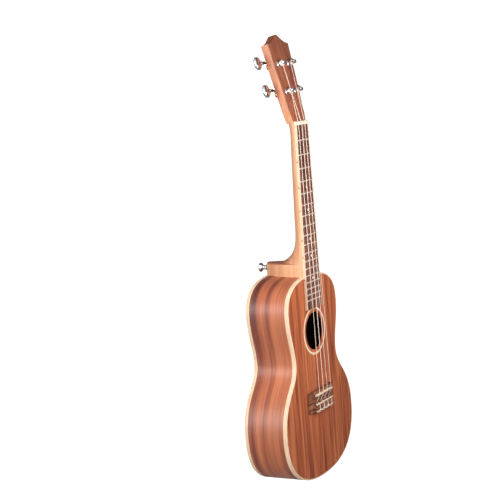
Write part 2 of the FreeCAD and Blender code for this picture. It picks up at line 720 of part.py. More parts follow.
def build_strap_button():
    """A flared button, and the screw whose sunk head holds it."""
    rim_low, rim_high = STRAP_LENGTH - 2.6, STRAP_LENGTH - 1.1
    seat = STRAP_LENGTH - 2.4
    bore = STRAP_SHANK + 0.05
    outline = [
        (bore, 0.0), (4.6, 0.0), (4.6, 0.8), (3.2, 2.6), (3.0, 5.0), (4.2, rim_low - 2.2),
        (STRAP_RIM, rim_low), (STRAP_RIM, rim_high), (5.6, STRAP_LENGTH - 0.3), (3.8, STRAP_LENGTH),
        (bore, seat),
    ]
    button = turned(outline)
    head_low = seat + 0.05
    cone = [(0, head_low), (STRAP_SHANK, head_low), (3.0, STRAP_LENGTH - 0.85), (0, STRAP_LENGTH - 0.4)]
    screw = turned(cone).fuse(Part.makeCylinder(STRAP_SHANK, head_low)).removeSplitter()
    for shape in (button, screw):
        shape.rotate(Vector(0, 0, 0), Vector(1, 0, 0), 180)
        shape.translate(Vector(0, STRAP_Y, -HEEL_PROUD))
    slot_floor = -HEEL_PROUD - STRAP_LENGTH + 1.6
    slot = box(-2.6, 2.6, STRAP_Y - 0.4, STRAP_Y + 0.4, -HEEL_PROUD - STRAP_LENGTH, slot_floor)
    return button, screw.fuse(strap_screw()).removeSplitter().cut(slot)


def turned(outline):
    """A solid of revolution about z from (radius, height) points."""
    points = [Vector(r, 0, z) for r, z in outline]
    face = Part.Face(Part.makePolygon(points + [points[0]]))
    return face.revolve(Vector(0, 0, 0), Vector(0, 0, 1), 360)


# ---- tuning machines, in the head frame about the post's own axis -----------------------------------
BUSH_RADIUS, BUSH_LENGTH, BUSH_FLANGE = 4.2, 9.0, 5.2
SHAFT_RADIUS = 1.5
BUTTON_START, BUTTON_END = 18.5, 36.5
EAR_INNER, EAR_OUTER = 5.4, 6.5
PLATE_HALF_WIDTH, PLATE_UP, PLATE_DOWN = 6.5, 13.0, 12.0
SCREW_PLACES = (10.9, -9.6)
WHEEL_LOW = WORM_Z - WHEEL_FACE / 2
WHEEL_BORE = 2.2


def mounting_screws(x, y):
    """Shanks of the two wood screws that hold a machine, in the headstock."""
    return [Part.makeCylinder(0.9, 7, Vector(x, y + up, HEAD_BACK)) for up in SCREW_PLACES]


def build_mounting_screws(x, y):
    solids = []
    for up, shank in zip(SCREW_PLACES, mounting_screws(x, y)):
        cap_low = HEAD_BACK - MACHINE_PLATE
        neck = Part.makeCylinder(0.9, MACHINE_PLATE, Vector(x, y + up, cap_low))
        cap = Part.makeSphere(2.1, Vector(x, y + up, cap_low + 1.1))
        cap = cap.common(box(x - 4, x + 4, y + up - 4, y + up + 4, cap_low - 4, cap_low))
        groove = box(x - 3, x + 3, y + up - 0.2, y + up + 0.2, cap_low - 3, cap_low - 0.6)
        solids.append(shank.fuse(neck).fuse(cap.cut(groove)).removeSplitter())
    return solids


def build_bushing(x, y):
    sleeve = Part.makeCylinder(BUSH_RADIUS, BUSH_LENGTH, Vector(x, y, -BUSH_LENGTH))
    flange = Part.makeCone(BUSH_FLANGE, BUSH_FLANGE - 0.8, 1.0, Vector(x, y, 0))
    bore = Part.makeCylinder(POST_RADIUS + 0.05, 30, Vector(x, y, -15))
    return sleeve.fuse(flange).cut(bore).removeSplitter()


def build_machine_plate(x, y):
    """The base plate with two folded ears that carry the worm shaft."""
    back = HEAD_BACK
    left, right = x - PLATE_HALF_WIDTH, x + PLATE_HALF_WIDTH
    flat = box(left, right, y - PLATE_DOWN, y + PLATE_UP, back - MACHINE_PLATE, back)
    corners = [e for e in flat.Edges if e.BoundBox.ZLength > MACHINE_PLATE - EPS]
    flat = flat.makeFillet(3.0, corners)
    ear_top = WORM_Z - 2.6
    for side in (-1, 1):
        low, high = sorted((x + side * EAR_INNER, x + side * EAR_OUTER))
        ear = box(low, high, y + WORM_CENTRE - 2.9, y + WORM_CENTRE + 2.9, ear_top, back)
        flat = flat.fuse(ear)
    axis = Vector(x - 20, y + WORM_CENTRE, WORM_Z)
    flat = flat.cut(Part.makeCylinder(SHAFT_RADIUS + 0.05, 40, axis, Vector(1, 0, 0)))
    flat = flat.cut(Part.makeCylinder(POST_RADIUS + 0.05, 10, Vector(x, y, back - 5)))
    for up in SCREW_PLACES:
        flat = flat.cut(Part.makeCylinder(0.95, 10, Vector(x, y + up, back - 5)))
    return flat.removeSplitter()


def build_post(x, y):
    """String post: round through the bushing, square where the wheel sits, drilled for string and screw."""
    outline = [
        (0, WHEEL_LOW + 0.4), (WHEEL_BORE, WHEEL_LOW + 0.4), (WHEEL_BORE, WHEEL_LOW + WHEEL_FACE),
        (POST_RADIUS, WHEEL_LOW + WHEEL_FACE), (POST_RADIUS, POST_ABOVE - 1.2),
        (POST_RADIUS - 0.6, POST_ABOVE), (0, POST_ABOVE),
    ]
    post = turned(outline)
    flat = 1.75
    for side in (-1, 1):
        low, high = sorted((side * flat, side * 5))
        post = post.cut(box(low, high, -5, 5, WHEEL_LOW, WHEEL_LOW + WHEEL_FACE))
    post = post.cut(Part.makeCylinder(0.9, 8, Vector(-4, 0, WIND_HEIGHT + 3.2), Vector(1, 0, 0)))
    post = post.cut(Part.makeCylinder(1.0, 5.5, Vector(0, 0, WHEEL_LOW)))
    post.translate(Vector(x, y, 0))
    return post


def build_wheel_screw(x, y):
    head = Part.makeCylinder(2.6, 1.5, Vector(0, 0, WHEEL_LOW - 1.5))
    groove = box(-3, 3, -0.35, 0.35, WHEEL_LOW - 1.6, WHEEL_LOW - 0.8)
    screw = head.cut(groove).fuse(Part.makeCylinder(1.0, 5.0, Vector(0, 0, WHEEL_LOW))).removeSplitter()
    screw.translate(Vector(x, y, 0))
    return screw


BACKLASH = 0.08
PRESSURE_ANGLE = 20.0
ADDENDUM, DEDENDUM = 0.42, 0.62


def wheel_profile(turn, height):
    """The wheel's toothed outline, turned by an angle in radians."""
    base = WHEEL_PITCH_RADIUS * math.cos(math.radians(PRESSURE_ANGLE))

    def involute(radius):
        if radius <= base:
            return 0.0
        ratio = math.sqrt((radius / base) ** 2 - 1)
        return ratio - math.atan(ratio)

    half_at_pitch = (WORM_PITCH / 2 - BACKLASH) / 2 / WHEEL_PITCH_RADIUS
    steps = (-DEDENDUM, -0.2, ADDENDUM * 0.5, ADDENDUM)
    points = []
    for tooth in range(TEETH):
        middle = turn + 2 * math.pi * tooth / TEETH + math.pi / 2
        flank = []
        for step in steps:
            radius = WHEEL_PITCH_RADIUS + step
            half = half_at_pitch + involute(WHEEL_PITCH_RADIUS) - involute(radius)
            flank.append((radius, half))
        for radius, half in flank:
            angle = middle - half
            points.append(Vector(radius * math.cos(angle), radius * math.sin(angle), height))
        for radius, half in reversed(flank):
            angle = middle + half
            points.append(Vector(radius * math.cos(angle), radius * math.sin(angle), height))
    return Part.makePolygon(points + [points[0]])


def build_wheel(x, y):
    """A wheel whose teeth lean by the worm's lead angle."""
    lead = WORM_PITCH / (2 * math.pi * WORM_PITCH_RADIUS)
    half_twist = (WHEEL_FACE / 2) * lead / WHEEL_PITCH_RADIUS
    wheel = Part.makeLoft(
        [wheel_profile(-half_twist, WHEEL_LOW), wheel_profile(half_twist, WHEEL_LOW + WHEEL_FACE)], True, True
    )
    flat = 1.75
    hole = Part.makeCylinder(WHEEL_BORE, 10, Vector(0, 0, WHEEL_LOW - 3))
    hole = hole.common(box(-flat, flat, -5, 5, -100, 100))
    wheel = wheel.cut(hole)
    wheel.translate(Vector(x, y, 0))
    return wheel


def build_worm(x, y):
    """Worm thread and shaft in one piece, reaching out to the button."""
    side = 1 if x > 0 else -1
    core = WORM_PITCH_RADIUS - 0.62
    half_length = EAR_INNER - 0.25
    turns = 2 * (half_length - 0.7) / WORM_PITCH
    length = turns * WORM_PITCH
    thick_pitch = (WORM_PITCH / 2 - BACKLASH) / 2
    slope = math.tan(math.radians(PRESSURE_ANGLE))
    inner, outer = core - 0.3, WORM_PITCH_RADIUS + ADDENDUM
    half_in = thick_pitch + (WORM_PITCH_RADIUS - inner) * slope
    half_out = thick_pitch - (outer - WORM_PITCH_RADIUS) * slope
    helix = Part.makeHelix(WORM_PITCH, length, WORM_PITCH_RADIUS)
    section = Part.makePolygon([
        Vector(inner, 0, -half_in), Vector(outer, 0, -half_out),
        Vector(outer, 0, half_out), Vector(inner, 0, half_in), Vector(inner, 0, -half_in),
    ])
    thread = Part.Wire(helix).makePipeShell([section], True, True)
    thread.translate(Vector(0, 0, -length / 2))
    drum = Part.makeCylinder(core, 2 * half_length, Vector(0, 0, -half_length))
    worm = drum.fuse(thread)
    worm.rotate(Vector(0, 0, 0), Vector(0, 1, 0), 90)
    # The ridge now starts on the -z side of the +x axis and reaches the wheel's side, -y, after 270 degrees.
    # There it has to lie half a pitch off the middle, so that a wheel tooth falls between two ridges.
    ridge_at_wheel = -length / 2 + WORM_PITCH * 270.0 / 360.0
    worm.rotate(Vector(0, 0, 0), Vector(1, 0, 0), 360.0 * (ridge_at_wheel / WORM_PITCH - 0.5))
    tail = rod(SHAFT_RADIUS, Vector(-side * half_length, 0, 0), Vector(-side * (EAR_OUTER + 0.8), 0, 0))
    reach = rod(SHAFT_RADIUS, Vector(side * half_length, 0, 0), Vector(side * (EAR_OUTER + 0.35), 0, 0))
    stem = rod(2.1, Vector(side * (EAR_OUTER + 0.35), 0, 0), Vector(side * BUTTON_START, 0, 0))
    spigot = rod(1.2, Vector(side * BUTTON_START, 0, 0), Vector(side * (BUTTON_START + 7), 0, 0))
    worm = worm.fuse([tail, reach, stem, spigot]).removeSplitter()
    worm.translate(Vector(x, y + WORM_CENTRE, WORM_Z))
    return worm


def build_button(x, y, turned_by):
    """An oval finger button with dished faces and a turned collar, turned about its shaft."""
    collar_long = 3.4
    collar = Part.makeCone(2.7, 3.3, collar_long, Vector(BUTTON_START, 0, 0), Vector(1, 0, 0))
    half_length = (BUTTON_END - BUTTON_START - collar_long) / 2 + 0.9
    middle = BUTTON_END - half_length
    ball = Part.makeSphere(1.0)
    stretch = FreeCAD.Matrix()
    stretch.scale(half_length, 9.2, 3.8)
    oval = ball.transformGeometry(stretch)
    oval.translate(Vector(middle, 0, 0))
    dish = 22.0
    for side in (-1, 1):
        oval = oval.cut(Part.makeSphere(dish, Vector(middle + 1.0, 0, side * (dish + 2.7))))
    button = collar.fuse(oval)
    button = button.cut(rod(1.2, Vector(BUTTON_START - 1, 0, 0), Vector(BUTTON_START + 7, 0, 0)))
    button.rotate(Vector(0, 0, 0), Vector(1, 0, 0), turned_by)
    if x < 0:
        button.rotate(Vector(0, 0, 0), Vector(0, 0, 1), 180)
    button.translate(Vector(x, y + WORM_CENTRE, WORM_Z))
    return button


# ---- write the nodes --------------------------------------------------------------------------------
def plan(*solids):
    return [stand_up(s) for s in solids]


def write_body():
    save("soundboard", *plan(build_soundboard()))
    save("back_plate", *plan(plate(SIDE, 0, PLATE)))
    bass, treble = build_sides()
    save("side_bass", *plan(bass))
    save("side_treble", *plan(treble))
    save("rosette", *plan(rosette_ring()))
    save("binding_front", *plan(rounded_band(FRONT - BINDING_DEPTH, FRONT, FRONT)))
    save("binding_back", *plan(rounded_band(0, BINDING_DEPTH, 0)))
    neck_block, tail_block = build_blocks()
    save("neck_block", *plan(neck_block))
    save("tail_block", *plan(tail_block))
    save("linings", *plan(*build_linings()))
    top_braces, patch, back_braces = build_braces()
    save("soundboard_braces", *plan(*top_braces))
    save("bridge_patch", *plan(patch))
    save("back_braces", *plan(*back_braces))
    save("neck_dowels", *plan(*neck_dowels()))


def write_neck():
    save("neck", *plan(build_neck()))
    save("head_overlay", *plan(build_overlay()))
    wood, binding, frets, face_dots, side_dots = build_fingerboard()
    save("fingerboard", *plan(wood))
    save("fingerboard_binding", *plan(*binding))
    save("frets", *plan(*frets))
    save("face_dots", *plan(*face_dots))
    save("side_dots", *plan(*side_dots))
    save("nut", *plan(build_nut()))
    button, screw = build_strap_button()
    save("strap_button", *plan(button))
    save("strap_button_screw", *plan(screw))


def write_bridge_and_strings():
    save("bridge", *plan(build_bridge()))
    save("saddle", *plan(build_saddle()))
    save("tie_block_strips", *plan(*tie_strips()))
    for name in POSTS:
        save("string_" + name, *plan(build_string(name)))
        save("string_wind_" + name, *plan(*build_wind(name)))


def write_tuners():
    def on_head(*solids):
        return plan(*[head_to_plan(s) for s in solids])

    places = POSTS.values()
    screws = [s for x, y in places for s in build_mounting_screws(x, y)]
    save("machine_plates", *on_head(*[build_machine_plate(x, y) for x, y in places]))
    save("machine_screws", *on_head(*screws))
    save("post_bushings", *on_head(*[build_bushing(x, y) for x, y in places]))
    for name, (x, y) in POSTS.items():
        save("tuner_post_" + name, *on_head(build_post(x, y)))
        save("tuner_wheel_" + name, *on_head(build_wheel(x, y)))
        save("wheel_screw_" + name, *on_head(build_wheel_screw(x, y)))
        save("worm_shaft_" + name, *on_head(build_worm(x, y)))
        save("tuner_button_" + name, *on_head(build_button(x, y, 0 if x < 0 else 90)))


os.makedirs("parts", exist_ok=True)
write_body()
write_neck()
write_bridge_and_strings()
write_tuners()
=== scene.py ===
import math

import bmesh
import bpy
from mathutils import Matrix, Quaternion, Vector


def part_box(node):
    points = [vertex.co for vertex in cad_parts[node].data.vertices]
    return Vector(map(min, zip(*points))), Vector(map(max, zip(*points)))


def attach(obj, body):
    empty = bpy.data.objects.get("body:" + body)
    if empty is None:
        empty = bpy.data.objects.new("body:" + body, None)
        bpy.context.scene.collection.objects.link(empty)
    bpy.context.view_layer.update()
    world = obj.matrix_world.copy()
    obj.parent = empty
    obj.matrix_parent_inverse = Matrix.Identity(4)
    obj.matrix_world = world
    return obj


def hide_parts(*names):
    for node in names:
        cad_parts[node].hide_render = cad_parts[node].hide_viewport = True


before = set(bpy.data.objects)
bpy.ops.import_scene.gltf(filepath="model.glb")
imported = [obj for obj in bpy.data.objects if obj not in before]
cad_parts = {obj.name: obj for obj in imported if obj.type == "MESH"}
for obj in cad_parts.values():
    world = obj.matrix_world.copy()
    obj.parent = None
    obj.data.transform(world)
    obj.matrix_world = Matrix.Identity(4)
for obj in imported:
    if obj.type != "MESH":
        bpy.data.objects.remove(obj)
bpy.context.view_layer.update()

# =====================================================================================================
# Places and sizes. Lengths are metres, and MM turns millimetres into metres. They come from the CAD
# frame's boxes where a box gives them, and are otherwise the design's own sizes. "Plan" points are
# (x across, y up the neck, z height above the back), and "head" points are the same on the leaned-back
# headstock, with z = 0 on its face.
# =====================================================================================================
MM = 0.001

FRONT = -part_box("soundboard")[0].y
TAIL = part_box("side_treble")[0].z
BODY_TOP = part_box("side_treble")[1].z
BINDING_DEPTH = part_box("binding_back")[1].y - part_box("binding_back")[0].y
BINDING_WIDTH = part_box("back_plate")[0].z - TAIL
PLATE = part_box("soundboard")[1].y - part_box("soundboard")[0].y
LOWER_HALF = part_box("binding_front")[1].x
HOLE_CENTRE_Y = (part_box("rosette")[0].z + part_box("rosette")[1].z) / 2
HOLE_RADIUS = 27.0 * MM
RING_OUTER = (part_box("rosette")[1].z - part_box("rosette")[0].z) / 2
RING_WIDTH = 3.0 * MM

NUT_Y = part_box("nut")[0].z
NUT_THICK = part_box("nut")[1].z - NUT_Y
NUT_HALF = 17.8 * MM
JOINT_HALF = 22.4 * MM
BOARD_TOP = -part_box("fingerboard")[0].y
SHAFT_DEPTH_NUT = 12.0 * MM
SHAFT_DEPTH_HEEL = 14.8 * MM
HEEL_LEDGE = BODY_TOP + 17.1 * MM
HEEL_BACK_HALF = 13.0 * MM
HEEL_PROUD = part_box("neck")[1].y

HEAD_LEAN = math.radians(13.0)
HEAD_FACE_AT_NUT = -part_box("head_overlay")[0].y
HEAD_THICK = 11.0 * MM
OVERLAY = 1.2 * MM
HEAD_BACK = -(HEAD_THICK + OVERLAY)
POSTS = {"g": (-13.2 * MM, 43.0 * MM), "c": (-15.8 * MM, 82.5 * MM),
         "e": (15.8 * MM, 82.5 * MM), "a": (13.2 * MM, 43.0 * MM)}
POST_RADIUS = 3.0 * MM
WORM_OFFSET = 6.55 * MM
WORM_AXIS_Z = HEAD_BACK - 3.8 * MM

STRING_RADIUS = {"g": 0.36 * MM, "c": 0.48 * MM, "e": 0.41 * MM, "a": 0.31 * MM}
STRING_PLACE = {"g": -1.5, "c": -0.5, "e": 0.5, "a": 1.5}
NUT_SPACING = 9.6 * MM
NUT_PEAK_HEIGHT = 1.4 * MM
SADDLE_SPACING = 12.5 * MM
SADDLE_Y = (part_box("saddle")[0].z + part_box("saddle")[1].z) / 2
SADDLE_TOP = -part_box("saddle")[0].y
TIE_TOP = -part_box("tie_block_strips")[0].y
TIE_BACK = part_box("tie_block_strips")[0].z
TIE_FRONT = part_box("tie_block_strips")[1].z
TIE_HOLE = FRONT + 5.2 * MM
WIND_HEIGHT = 4.2 * MM


def row(x, y, z):
    """Plan point to row frame."""
    return Vector((x, -z, y))


def head(x, y, z):
    """Head point to row frame."""
    sine, cosine = math.sin(HEAD_LEAN), math.cos(HEAD_LEAN)
    return row(x, NUT_Y + NUT_THICK + y * cosine + z * sine, HEAD_FACE_AT_NUT - y * sine + z * cosine)


def mix(a, b, t):
    """The value at t between a and b."""
    return a + (b - a) * t


def cubic(a, b, c, d, t):
    """A point at t on the plane cubic with these poles."""
    s = 1 - t
    shares = (s ** 3, 3 * s * s * t, 3 * s * t * t, t ** 3)
    return tuple(sum(share * pole[i] for share, pole in zip(shares, (a, b, c, d))) for i in (0, 1))


def smooth(t):
    """0 to 1 with a soft start and end."""
    t = min(1.0, max(0.0, t))
    return t * t * (3 - 2 * t)


# =====================================================================================================
# Material recipes: node graphs built from noise
# =====================================================================================================
MIX_FACTOR, MIX_FIRST, MIX_SECOND, MIX_RESULT = 0, 6, 7, 2    # colour sockets of Blender's mix node


def colour(red, green, blue):
    """Display red, green and blue (0 to 255) as scene-linear values."""
    def linear(value):
        value /= 255.0
        return value / 12.92 if value <= 0.04045 else ((value + 0.055) / 1.055) ** 2.4
    return (linear(red), linear(green), linear(blue), 1.0)


class Recipe:
    """A material under construction."""

    def __init__(self, name):
        self.material = bpy.data.materials.new(name)
        self.material.use_nodes = True
        self.nodes = self.material.node_tree.nodes
        self.links = self.material.node_tree.links
        self.shader = self.nodes["Principled BSDF"]
        self.coordinates = self.nodes.new("ShaderNodeTexCoord")

    def set(self, **values):
        """Set or link inputs of the surface shader; an underscore stands for a space."""
        for key, value in values.items():
            self.plug(self.shader.inputs[key.replace("_", " ")], value)

    def plug(self, socket, value):
        if isinstance(value, bpy.types.NodeSocket):
            self.links.new(value, socket)
        else:
            socket.default_value = value

    def stretched(self, scale, source="Object", shift=(0, 0, 0)):
        """Texture coordinates in metres, scaled along each axis."""
        node = self.nodes.new("ShaderNodeMapping")
        self.links.new(self.coordinates.outputs[source], node.inputs["Vector"])
        node.inputs["Scale"].default_value = scale
        node.inputs["Location"].default_value = shift
        return node.outputs["Vector"]

    def axes(self, source):
        """The x, y and z of a kind of texture coordinates."""
        node = self.nodes.new("ShaderNodeSeparateXYZ")
        self.links.new(self.coordinates.outputs[source], node.inputs[0])
        return node.outputs

    def noise(self, vector, detail=3.0, roughness=0.5, distortion=0.0):
        node = self.nodes.new("ShaderNodeTexNoise")
        self.links.new(vector, node.inputs["Vector"])
        node.inputs["Scale"].default_value = 1.0
        node.inputs["Detail"].default_value = detail
        node.inputs["Roughness"].default_value = roughness
        node.inputs["Distortion"].default_value = distortion
        return node.outputs["Fac"]

    def ramp(self, value, *stops):
        """Colour or grey ramp; each stop is (place, colour or grey)."""
        node = self.nodes.new("ShaderNodeValToRGB")
        self.plug(node.inputs["Fac"], value)
        elements = node.color_ramp.elements
        while len(elements) < len(stops):
            elements.new(0.5)
        for element, (place, shade) in zip(elements, stops):
            element.position = place
            element.color = shade if isinstance(shade, tuple) else (shade, shade, shade, 1.0)
        return node.outputs["Color"]

    def blend(self, factor, first, second, mode="MIX"):
        node = self.nodes.new("ShaderNodeMix")
        node.data_type = "RGBA"
        node.blend_type = mode
        self.plug(node.inputs[MIX_FACTOR], factor)
        self.plug(node.inputs[MIX_FIRST], first)
        self.plug(node.inputs[MIX_SECOND], second)
        return node.outputs[MIX_RESULT]

    def maths(self, operation, first, second=0.0):
        node = self.nodes.new("ShaderNodeMath")
        node.operation = operation
        self.plug(node.inputs[0], first)
        self.plug(node.inputs[1], second)
        return node.outputs[0]

    def uneven(self, grain, spread, middle):
        """Roughness that varies with a noise, by spread around its middle."""
        self.set(Roughness=self.maths("ADD", self.maths("MULTIPLY", grain, spread), middle - spread / 2))

    def bump(self, height, strength, distance):
        node = self.nodes.new("ShaderNodeBump")
        self.plug(node.inputs["Height"], height)
        node.inputs["Strength"].default_value = strength
        node.inputs["Distance"].default_value = distance
        self.links.new(node.outputs["Normal"], self.shader.inputs["Normal"])


# Layers of wood figure: how fine it is across and along the grain, as shares of the stripe scale, and
# then the noise's detail, roughness and distortion.
FIGURE = {
    "broad": (1.0, 0.035, 3.0, 0.55, 0.6),
    "fine": (5.0, 0.09, 4.0, 0.6, 0.3),
    "streak": (26.0, 0.9, 2.0, 0.6, 0.0),
    "cloud": (0.22, 0.12, 2.0, 0.5, 0.0),
}
STRIPE_SPREAD = 0.17
LINE_TONES = ((0.30, 1.12), (0.52, 0.98), (0.72, 0.70))
LINE_STRENGTH = 0.55
PORE_TONES = ((0.56, 1.0), (0.70, 0.62))
CLOUD_TONES = ((0.30, 1.15), (0.70, 0.80))
CLOUD_STRENGTH = 0.35
# faces across the grain: darker stained end grain, and painted shade on faces that look up or down
END_GRAIN_AND_SHADE_TONES = ((0.30, 0.0), (0.80, 0.85))
# painted shade for inner faces, which see little light
PAINTED_INSIDE_SHADE = colour(40, 27, 23)
INNER_FACE_SHIFT = 5.0
# a darker, redder tint that fades in above a given height
REDDER_TINT_FADE = 40.0 * MM
REDDER_TINT = (0.80, 0.62, 0.58, 1.0)
VARNISH_ROUGHNESS = 0.30
WOOD_UNEVENNESS = 0.14
WOOD_RELIEF = (0.10, 0.10 * MM)     # strength and depth


def wood(name, light, middle, dark, along, stripe, contrast, source="Object", gloss=0.38, coat=0.25,
         pores=0.35, reflection=0.3, shift=(0, 0, 0), end_grain_and_shade=None, inside=None, redder_from=None):
    """Straight-grained varnished wood; along is the axis (0, 1 or 2) that the grain follows.

    stripe is how many stripes fill a metre, roughly. The end-grain argument is the colour of faces cut
    across
    the grain: partly their stained colour, and partly painted shade on these faces, which look up or down.
    inside picks out an inner face, which sees little light, by (coordinates, axis, comparison, limit), and
    paints shade on it. The last argument is the height above which the wood takes a darker, redder tint.
    """
    recipe = Recipe(name)
    layer = {}
    for kind, (across, lengthways, detail, roughness, distortion) in FIGURE.items():
        scale = [stripe * across] * 3
        scale[along] = stripe * lengthways
        layer[kind] = recipe.noise(recipe.stretched(scale, source, shift), detail, roughness, distortion)
    spread = STRIPE_SPREAD / contrast
    toned = recipe.ramp(layer["broad"], (0.5 - spread, light), (0.5, middle), (0.5 + spread, dark))
    lines = recipe.ramp(layer["fine"], *LINE_TONES)
    toned = recipe.blend(LINE_STRENGTH * contrast, toned, lines, "MULTIPLY")
    toned = recipe.blend(pores, toned, recipe.ramp(layer["streak"], *PORE_TONES), "MULTIPLY")
    toned = recipe.blend(CLOUD_STRENGTH, toned, recipe.ramp(layer["cloud"], *CLOUD_TONES), "MULTIPLY")
    # faces cut across the grain turn darker: partly stained end grain, partly painted shade
    if end_grain_and_shade:
        facing = recipe.maths("ABSOLUTE", recipe.axes("Normal")[along])
        toned = recipe.blend(recipe.ramp(facing, *END_GRAIN_AND_SHADE_TONES), toned, end_grain_and_shade)
    # darker and redder above the given height
    if redder_from:
        beyond = recipe.maths("SUBTRACT", recipe.axes("Object")[2], redder_from)
        beyond = recipe.maths("MULTIPLY", beyond, 1.0 / REDDER_TINT_FADE)
        toned = recipe.blend(1.0, toned, recipe.ramp(beyond, (0.0, 1.0), (1.0, REDDER_TINT)), "MULTIPLY")
    # paint shade on the inner face that inside picks out
    if inside:
        coordinates, axis, comparison, limit = inside
        painted_shade_share = recipe.maths(comparison, recipe.axes(coordinates)[axis], limit)
        toned = recipe.blend(painted_shade_share, toned, PAINTED_INSIDE_SHADE)
    recipe.set(Base_Color=toned, Coat_Weight=coat, Coat_Roughness=VARNISH_ROUGHNESS)
    recipe.set(Specular_IOR_Level=reflection)
    recipe.uneven(layer["fine"], WOOD_UNEVENNESS, gloss)
    relief = recipe.maths("ADD", layer["streak"], recipe.maths("MULTIPLY", layer["fine"], 0.5))
    recipe.bump(relief, *WOOD_RELIEF)
    return recipe.material


PLASTIC_CLOUDS = (120, 120, 60)
PLASTIC_UNEVENNESS = 0.16
PLASTIC_RELIEF = (0.06, 0.05 * MM)


def plastic(name, main, worn, gloss=0.34, speckle=900.0, subsurface=0.0, glow=0.0, reflection=0.5):
    """Moulded plastic with faint clouding and handling marks; glow is painted light that it gives off."""
    recipe = Recipe(name)
    cloud = recipe.noise(recipe.stretched(PLASTIC_CLOUDS))
    grain = recipe.noise(recipe.stretched((speckle, speckle, speckle)), roughness=0.6)
    recipe.set(Base_Color=recipe.blend(recipe.ramp(cloud, (0.35, 0.0), (0.70, 1.0)), main, worn))
    recipe.uneven(grain, PLASTIC_UNEVENNESS, gloss)
    recipe.set(Subsurface_Weight=subsurface, Subsurface_Scale=1.0 * MM, Specular_IOR_Level=reflection)
    recipe.set(Emission_Color=main, Emission_Strength=glow)
    recipe.bump(grain, *PLASTIC_RELIEF)
    return recipe.material


METAL_PATCHES = (260, 260, 260)
METAL_RELIEF = (0.05, 0.03 * MM)


def metal(name, main, dull, gloss, brush=(900, 900, 900), marks=0.18, metallic=1.0):
    """Plated or turned metal with fine marks and slightly dull patches."""
    recipe = Recipe(name)
    patches = recipe.noise(recipe.stretched(METAL_PATCHES), 4.0, 0.6)
    scratches = recipe.noise(recipe.stretched(brush), 4.0, 0.65)
    recipe.set(Base_Color=recipe.blend(recipe.ramp(patches, (0.45, 0.0), (0.75, 1.0)), main, dull))
    recipe.set(Metallic=metallic)
    recipe.uneven(scratches, marks, gloss)
    recipe.bump(scratches, *METAL_RELIEF)
    return recipe.material


BODY_WOODS = (colour(206, 122, 78), colour(184, 98, 62), colour(140, 70, 48))
WALNUT_FRONT = wood("walnut_front", *BODY_WOODS, along=2, stripe=170.0, contrast=1.15, coat=0.0,
                    reflection=0.12)
# the back's inner face and the sides' inner faces get painted shade
WALNUT_BACK = wood("walnut_back", *BODY_WOODS, along=2, stripe=170.0, contrast=1.15, coat=0.0,
                   reflection=0.15, shift=(0.7, 0.3, 0.1), inside=("Object", 1, "LESS_THAN", -0.75 * PLATE))
# The body's walnut made darker for the sides: painted shade.
SIDE_WOODS_PAINTED_SHADE = (colour(194, 114, 76), colour(160, 84, 56), colour(96, 46, 36))
WALNUT_SIDE = wood("walnut_side", *SIDE_WOODS_PAINTED_SHADE, along=1, stripe=60.0, contrast=1.3, source="UV", coat=0.15,
                   reflection=0.5, gloss=0.45, inside=("UV", 0, "GREATER_THAN", INNER_FACE_SHIFT / 2))
# The neck's faces across the grain, at the crown and the heel's ledge, are darker: stained end grain and
# painted shade.
NECK_WOOD = wood("neck_wood", colour(238, 186, 146), colour(228, 168, 126), colour(210, 144, 102),
                 along=2, stripe=120.0, contrast=0.8, gloss=0.36, pores=0.25,
                 end_grain_and_shade=colour(164, 84, 54), redder_from=NUT_Y)
VENEER = wood("overlay_veneer", colour(178, 106, 76), colour(162, 92, 64), colour(138, 76, 54),
              along=2, stripe=110.0, contrast=0.9, coat=0.1)
BOARD_WOOD = wood("dark_wood", colour(156, 108, 88), colour(124, 80, 64), colour(84, 52, 42),
                  along=2, stripe=210.0, contrast=1.2, gloss=0.50, coat=0.0, pores=0.7)
BRIDGE_WOOD = wood("bridge_wood", colour(176, 116, 84), colour(144, 90, 64), colour(100, 60, 46),
                   along=0, stripe=210.0, contrast=1.2, gloss=0.50, coat=0.0, pores=0.7)
# Inner spruce, darkened far below its pale colour as painted shade inside the body.
SPRUCE_PAINTED_SHADE = wood("inner_wood", colour(146, 112, 78), colour(128, 94, 62), colour(104, 72, 46),
              along=0, stripe=260.0, contrast=0.8, gloss=0.70, coat=0.0)
CREAM = plastic("cream_binding", colour(240, 210, 180), colour(230, 194, 160), gloss=0.40, subsurface=0.1,
                reflection=0.10)
RING_CREAM = plastic("rosette_cream", colour(255, 228, 198), colour(246, 214, 182), gloss=0.35)
IVORY = plastic("ivory_plastic", colour(250, 238, 214), colour(240, 222, 190), gloss=0.24, subsurface=0.2)
PEARL = plastic("pearl_plastic", colour(246, 232, 216), colour(228, 214, 204), gloss=0.16, speckle=400.0)
DARK_PLASTIC = plastic("dark_plastic", colour(72, 52, 40), colour(92, 70, 54))
# The strings give off a little painted glow, which lifts their shaded side.
NYLON = plastic("nylon", colour(250, 226, 212), colour(244, 216, 202), glow=0.06)
CHROME = metal("chrome", colour(222, 220, 222), colour(190, 184, 186), gloss=0.10, marks=0.10)
STEM_CHROME = metal("stem_chrome", colour(150, 140, 138), colour(120, 110, 108), gloss=0.20)
FRET_METAL = metal("fret_metal", colour(240, 224, 210), colour(222, 204, 190), gloss=0.38,
                   brush=(200, 2500, 2500), metallic=0.5)
BRASS = metal("brass", colour(214, 178, 110), colour(176, 136, 78), gloss=0.26)


# =====================================================================================================
# Mesh helpers
# =====================================================================================================
CREASE = 35.0
WELD_DISTANCE = 0.002 * MM
FLAT_ANGLE = math.radians(0.6)
SHARP_ANGLE = math.radians(30.0)


